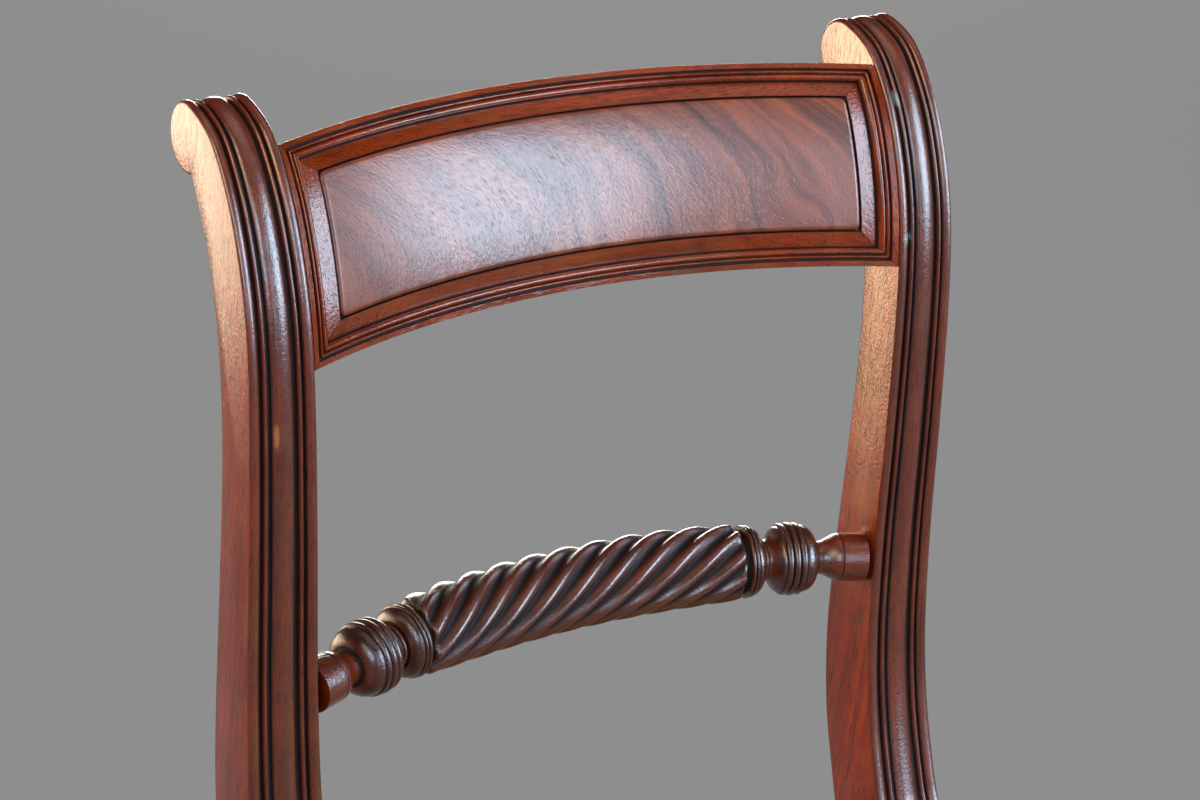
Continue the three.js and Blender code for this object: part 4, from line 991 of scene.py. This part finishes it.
def soften(pad, steps):
    """Smooths the pad above its foot in a number of steps, so that its crown has no creases."""
    heights = read(pad.data.vertices, "co", 3)[:, 2]
    group_points(pad, "Soft", heights > heights.min() + PAD_FOOT)
    smooth = pad.modifiers.new("Soft crown", "SMOOTH")
    smooth.vertex_group = "Soft"
    smooth.factor = 0.5
    smooth.iterations = steps
    apply_modifiers(pad)
    pad.vertex_groups.clear()


def stuff(pad):
    """Lets cloth swell under pressure with its underside pinned, and caps how far a point may move."""
    start = read(pad.data.vertices, "co", 3)
    group_points(pad, "Tacked", start[:, 2] < start[:, 2].min() + TACKED)
    cloth = pad.modifiers.new("Stuffing", "CLOTH")
    cloth.settings.quality = 6
    cloth.settings.use_pressure = True
    cloth.settings.uniform_pressure_force = 4.0
    cloth.settings.vertex_group_mass = "Tacked"
    cloth.settings.effector_weights.gravity = 0.0
    scene = bpy.context.scene
    for number in range(1, STUFFING_FRAMES + 1):
        scene.frame_set(number)
    apply_modifiers(pad)
    scene.frame_set(1)
    moved = read(pad.data.vertices, "co", 3) - start
    size = np.linalg.norm(moved, axis=1, keepdims=True)
    moved *= np.minimum(1, seat().swell / np.maximum(size, 1e-9))
    low, high = (np.array(corner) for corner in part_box("seat_pad"))
    spare = 0.8 * MM
    placed = np.clip(start + moved, low - (spare, spare, 0), high + (spare, spare, 8 * MM))
    pad.data.vertices.foreach_set("co", placed.ravel())
    pad.data.update()


# Studio

def add_floor():
    """A plain pale floor, wide enough to fill the view."""
    reach = 30.0
    corners = np.array([(-reach, -reach, 0), (reach, -reach, 0), (reach, reach, 0), (-reach, reach, 0)])
    floor = add_object("studio_floor", corners - (0, 0, 0.5 * MM), np.array([[0, 1, 2, 3]]))
    floor.data.materials.append(even_paper())


def add_area(name, place, target, size, power, colour, spread=180):
    """A rectangular soft light at a place, aimed at a target, with its spread in degrees."""
    data = bpy.data.lights.new(name, "AREA")
    data.shape = "RECTANGLE"
    data.size, data.size_y = size
    data.energy = power
    data.color = colour
    data.spread = math.radians(spread)
    lamp = new_object(name, data)
    lamp.location = place
    lamp.rotation_euler = (Vector(target) - Vector(place)).to_track_quat("-Z", "Y").to_euler()


def add_lights():
    """Four cool windows round the front: a big one at the right, a narrow one in front, one beside the
    camera at the left and a low one far right. Warm light comes from the left, two low warm lights behind
    on the left glance off the sides of the posts, a pale one stands far behind and a weak one overhead."""
    middle, distance, cool = (0, 0.15, 0.8), 2.4, (0.6, 0.8, 1.0)
    for name, bearing, height, size, power in (("window", 43, 1.55, (1.5, 1.5), 106),
                                               ("window_near", 0, 1.55, (0.6, 1.5), 13),
                                               ("window_left", -42, 1.75, (0.9, 1.0), 34),
                                               ("window_right", 106, 1.0, (0.6, 1.0), 7)):
        turn = math.radians(bearing)
        place = (distance * math.sin(turn), middle[1] - distance * math.cos(turn), height)
        add_area(name, place, middle, size, power, cool)
    add_area("warm_side", (-2.0, 0.0, 1.9), middle, (1.3, 1.3), 42, (1.0, 0.76, 0.48))
    add_area("glancing", (-1.15, 1.7, 0.42), (0, 0.2, 0.7), (1.6, 0.7), 21.5, (1.0, 0.76, 0.53))
    add_area("glancing_right", (-0.42, 0.92, 0.5), (0.32, 0.2, 0.72), (0.4, 0.5), 0.45, (1.0, 0.66, 0.36), 44)
    add_area("rim", (2.0, 3.6, 0.55), middle, (1.6, 0.9), 60, (1.0, 0.95, 0.86))
    add_area("top", (0.2, 0.2, 2.6), middle, (2.0, 1.6), 8, (1.0, 0.98, 0.95))
    world = bpy.data.worlds.new("Pale room")
    world.use_nodes = True
    sky = world.node_tree.nodes["Background"].inputs
    sky["Color"].default_value = (*bpy.context.scene.chair_colours.floor, 1.0)
    sky["Strength"].default_value = 0.2
    bpy.context.scene.world = world


def add_camera():
    """The photograph's viewpoint: in front on the left, above the back and looking down, slightly rolled."""
    data = bpy.data.cameras.new("photograph")
    data.lens = 92.592
    data.sensor_width = 36.0
    place = Vector((-856.22 * MM, KNEE_Y - 1091.24 * MM, RAIL_TOP + 1020.41 * MM))
    yaw, pitch, roll = (math.radians(v) for v in (34.939, 25.653, 5.825))
    turn = (Matrix.Rotation(-yaw, 4, "Z") @ Matrix.Rotation(math.pi / 2 - pitch, 4, "X")
            @ Matrix.Rotation(roll, 4, "Z"))
    camera = new_object("photograph", data)
    camera.matrix_world = Matrix.Translation(place) @ turn
    bpy.context.scene.camera = camera


# Operators

class CHAIR_OT_back_posts(bpy.types.Operator):
    """Builds both back posts with their scrolls, reeding and rear legs"""
    bl_idname = "chair.back_posts"
    bl_label = "Back posts"

    def execute(self, context):
        s = back()
        low, high = tablet_levels()
        # Two filled nail holes on the right post: shares across it and up the tablet, half sizes in mm
        nails = [(s.scroll_half_width - across * s.scroll_width, mix(low, high, up), wide * MM, tall * MM)
                 for across, up, wide, tall in ((0.8, 0.83, 2.3, 3.8), (0.91, 0.15, 3.4, 2.8))]
        # One worn spot on the left post, below the tablet
        rub = [(-s.scroll_half_width + 0.4 * s.scroll_width, low - 0.29 * s.tablet_rise, 1.6 * MM, 7 * MM)]
        add_plank_pair("back_post", post_segments(), post_x, 2, fade_scroll=True, filled=nails, rubbed=rub)
        return {"FINISHED"}


class CHAIR_OT_front_legs(bpy.types.Operator):
    """Builds both front sabre legs with their reeded faces"""
    bl_idname = "chair.front_legs"
    bl_label = "Front legs"

    def execute(self, context):
        add_plank_pair("front_leg", front_leg_segments(), front_leg_x, 2)
        return {"FINISHED"}


class CHAIR_OT_seat_rails(bpy.types.Operator):
    """Builds the reeded side rails and eases the edges of the front and back rails"""
    bl_idname = "chair.seat_rails"
    bl_label = "Seat rails"

    def execute(self, context):
        add_plank_pair("side_rail", side_rail_segments(), side_rail_x, 1)
        for name in ("front_rail", "back_rail"):
            eased_copy(name, mahogany(0), seat().arris)
        return {"FINISHED"}


class CHAIR_OT_tablet(bpy.types.Operator):
    """Builds the tablet: its bowed core, its mitred mouldings and its raised panel"""
    bl_idname = "chair.tablet"
    bl_label = "Tablet"

    def execute(self, context):
        surface = TabletSurface()
        add_tablet_core(surface)
        add_mouldings(surface)
        add_panel(surface)
        return {"FINISHED"}


class CHAIR_OT_rope_rail(bpy.types.Operator):
    """Builds the rope-carved cross rail with its turned ends"""
    bl_idname = "chair.rope_rail"
    bl_label = "Rope rail"

    def execute(self, context):
        sweep(*rope_grid(), "rope_rail_carved", mahogany(0, carved=True), "rope_rail")
        return {"FINISHED"}


class CHAIR_OT_seat_frame(bpy.types.Operator):
    """Finishes the drop-in seat's frame and webbing, the bearers, corner blocks and screws"""
    bl_idname = "chair.seat_frame"
    bl_label = "Seat frame"

    def execute(self, context):
        jute = context.scene.chair_colours.jute
        beech = [bare_beech(axis) for axis in (0, 1)]
        cloth = cover_cloth()
        webbing = woven("Jute webbing, woven", jute, [0.5 * v for v in jute], 2.2 * MM, 0.95)
        steel = plain_steel()
        for name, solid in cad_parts.items():
            if name.startswith("webbing"):
                dress(solid.data, webbing)
            elif name.startswith("screw"):
                dress(solid.data, steel)
            elif name.startswith("corner_block"):
                eased_copy(name, beech[0], 0.6 * MM)
            elif name.startswith("seat_bearer"):
                eased_copy(name, beech[1], 0.6 * MM)
            elif name.startswith("seat_frame"):
                along = name.endswith(("left", "right"))
                made = eased_copy(name, beech[along], 0.8 * MM, "seat")
                cover_outside(made.data, cloth)
        add_cover_edge(cloth)
        return {"FINISHED"}


class CHAIR_OT_seat_pad(bpy.types.Operator):
    """Stuffs the seat pad: the cover swells under pressure while its underside is held to the frame"""
    bl_idname = "chair.seat_pad"
    bl_label = "Seat pad"

    def execute(self, context):
        pad = new_object("seat_pad_stuffed", merged_copy("seat_pad"))
        remesh = pad.modifiers.new("Even cloth", "REMESH")
        remesh.mode = "VOXEL"
        remesh.voxel_size = seat().voxel
        apply_modifiers(pad)
        soften(pad, 40)
        stuff(pad)
        soften(pad, 16)
        subdivision = pad.modifiers.new("Smooth cloth", "SUBSURF")
        subdivision.levels = subdivision.render_levels = 1
        pad.data.polygons.foreach_set("use_smooth", np.ones(len(pad.data.polygons), bool))
        dress(pad.data, cover_cloth())
        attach(pad, "seat")
        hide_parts("seat_pad")
        return {"FINISHED"}


class CHAIR_OT_studio(bpy.types.Operator):
    """Sets up the floor, the soft lights, the surroundings and the camera"""
    bl_idname = "chair.studio"
    bl_label = "Studio"

    def execute(self, context):
        add_floor()
        add_lights()
        add_camera()
        context.scene.view_settings.view_transform = "Standard"
        return {"FINISHED"}


class CHAIR_PT_panel(bpy.types.Panel):
    """Lists the chair's pieces and sizes in the sidebar"""
    bl_idname = "CHAIR_PT_panel"
    bl_label = "Chair"
    bl_space_type = "VIEW_3D"
    bl_region_type = "UI"
    bl_category = "Chair"

    def draw(self, context):
        for operator in OPERATORS:
            self.layout.operator(operator.bl_idname)
        for key in GROUPS:
            group, column = getattr(context.scene, key), self.layout.column()
            for name in group.__annotations__:
                column.prop(group, name)


OPERATORS = (CHAIR_OT_back_posts, CHAIR_OT_tablet, CHAIR_OT_rope_rail, CHAIR_OT_front_legs,
             CHAIR_OT_seat_rails, CHAIR_OT_seat_frame, CHAIR_OT_seat_pad, CHAIR_OT_studio)
GROUPS = {"chair_back": BackSizes, "chair_rope": RopeSizes, "chair_seat": SeatSizes, "chair_colours": Colours}


def register():
    for made in (*GROUPS.values(), *OPERATORS, CHAIR_PT_panel):
        bpy.utils.register_class(made)
    for name, group in GROUPS.items():
        setattr(bpy.types.Scene, name, PointerProperty(type=group))


def unregister():
    for name in GROUPS:
        delattr(bpy.types.Scene, name)
    for made in (CHAIR_PT_panel, *OPERATORS, *GROUPS.values()):
        bpy.utils.unregister_class(made)


def main():
    register()
    bpy.ops.chair.back_posts()
    bpy.ops.chair.tablet()
    bpy.ops.chair.rope_rail()
    bpy.ops.chair.front_legs()
    bpy.ops.chair.seat_rails()
    bpy.ops.chair.seat_frame()
    bpy.ops.chair.seat_pad()
    bpy.ops.chair.studio()


if __name__ == "__main__":
    main()
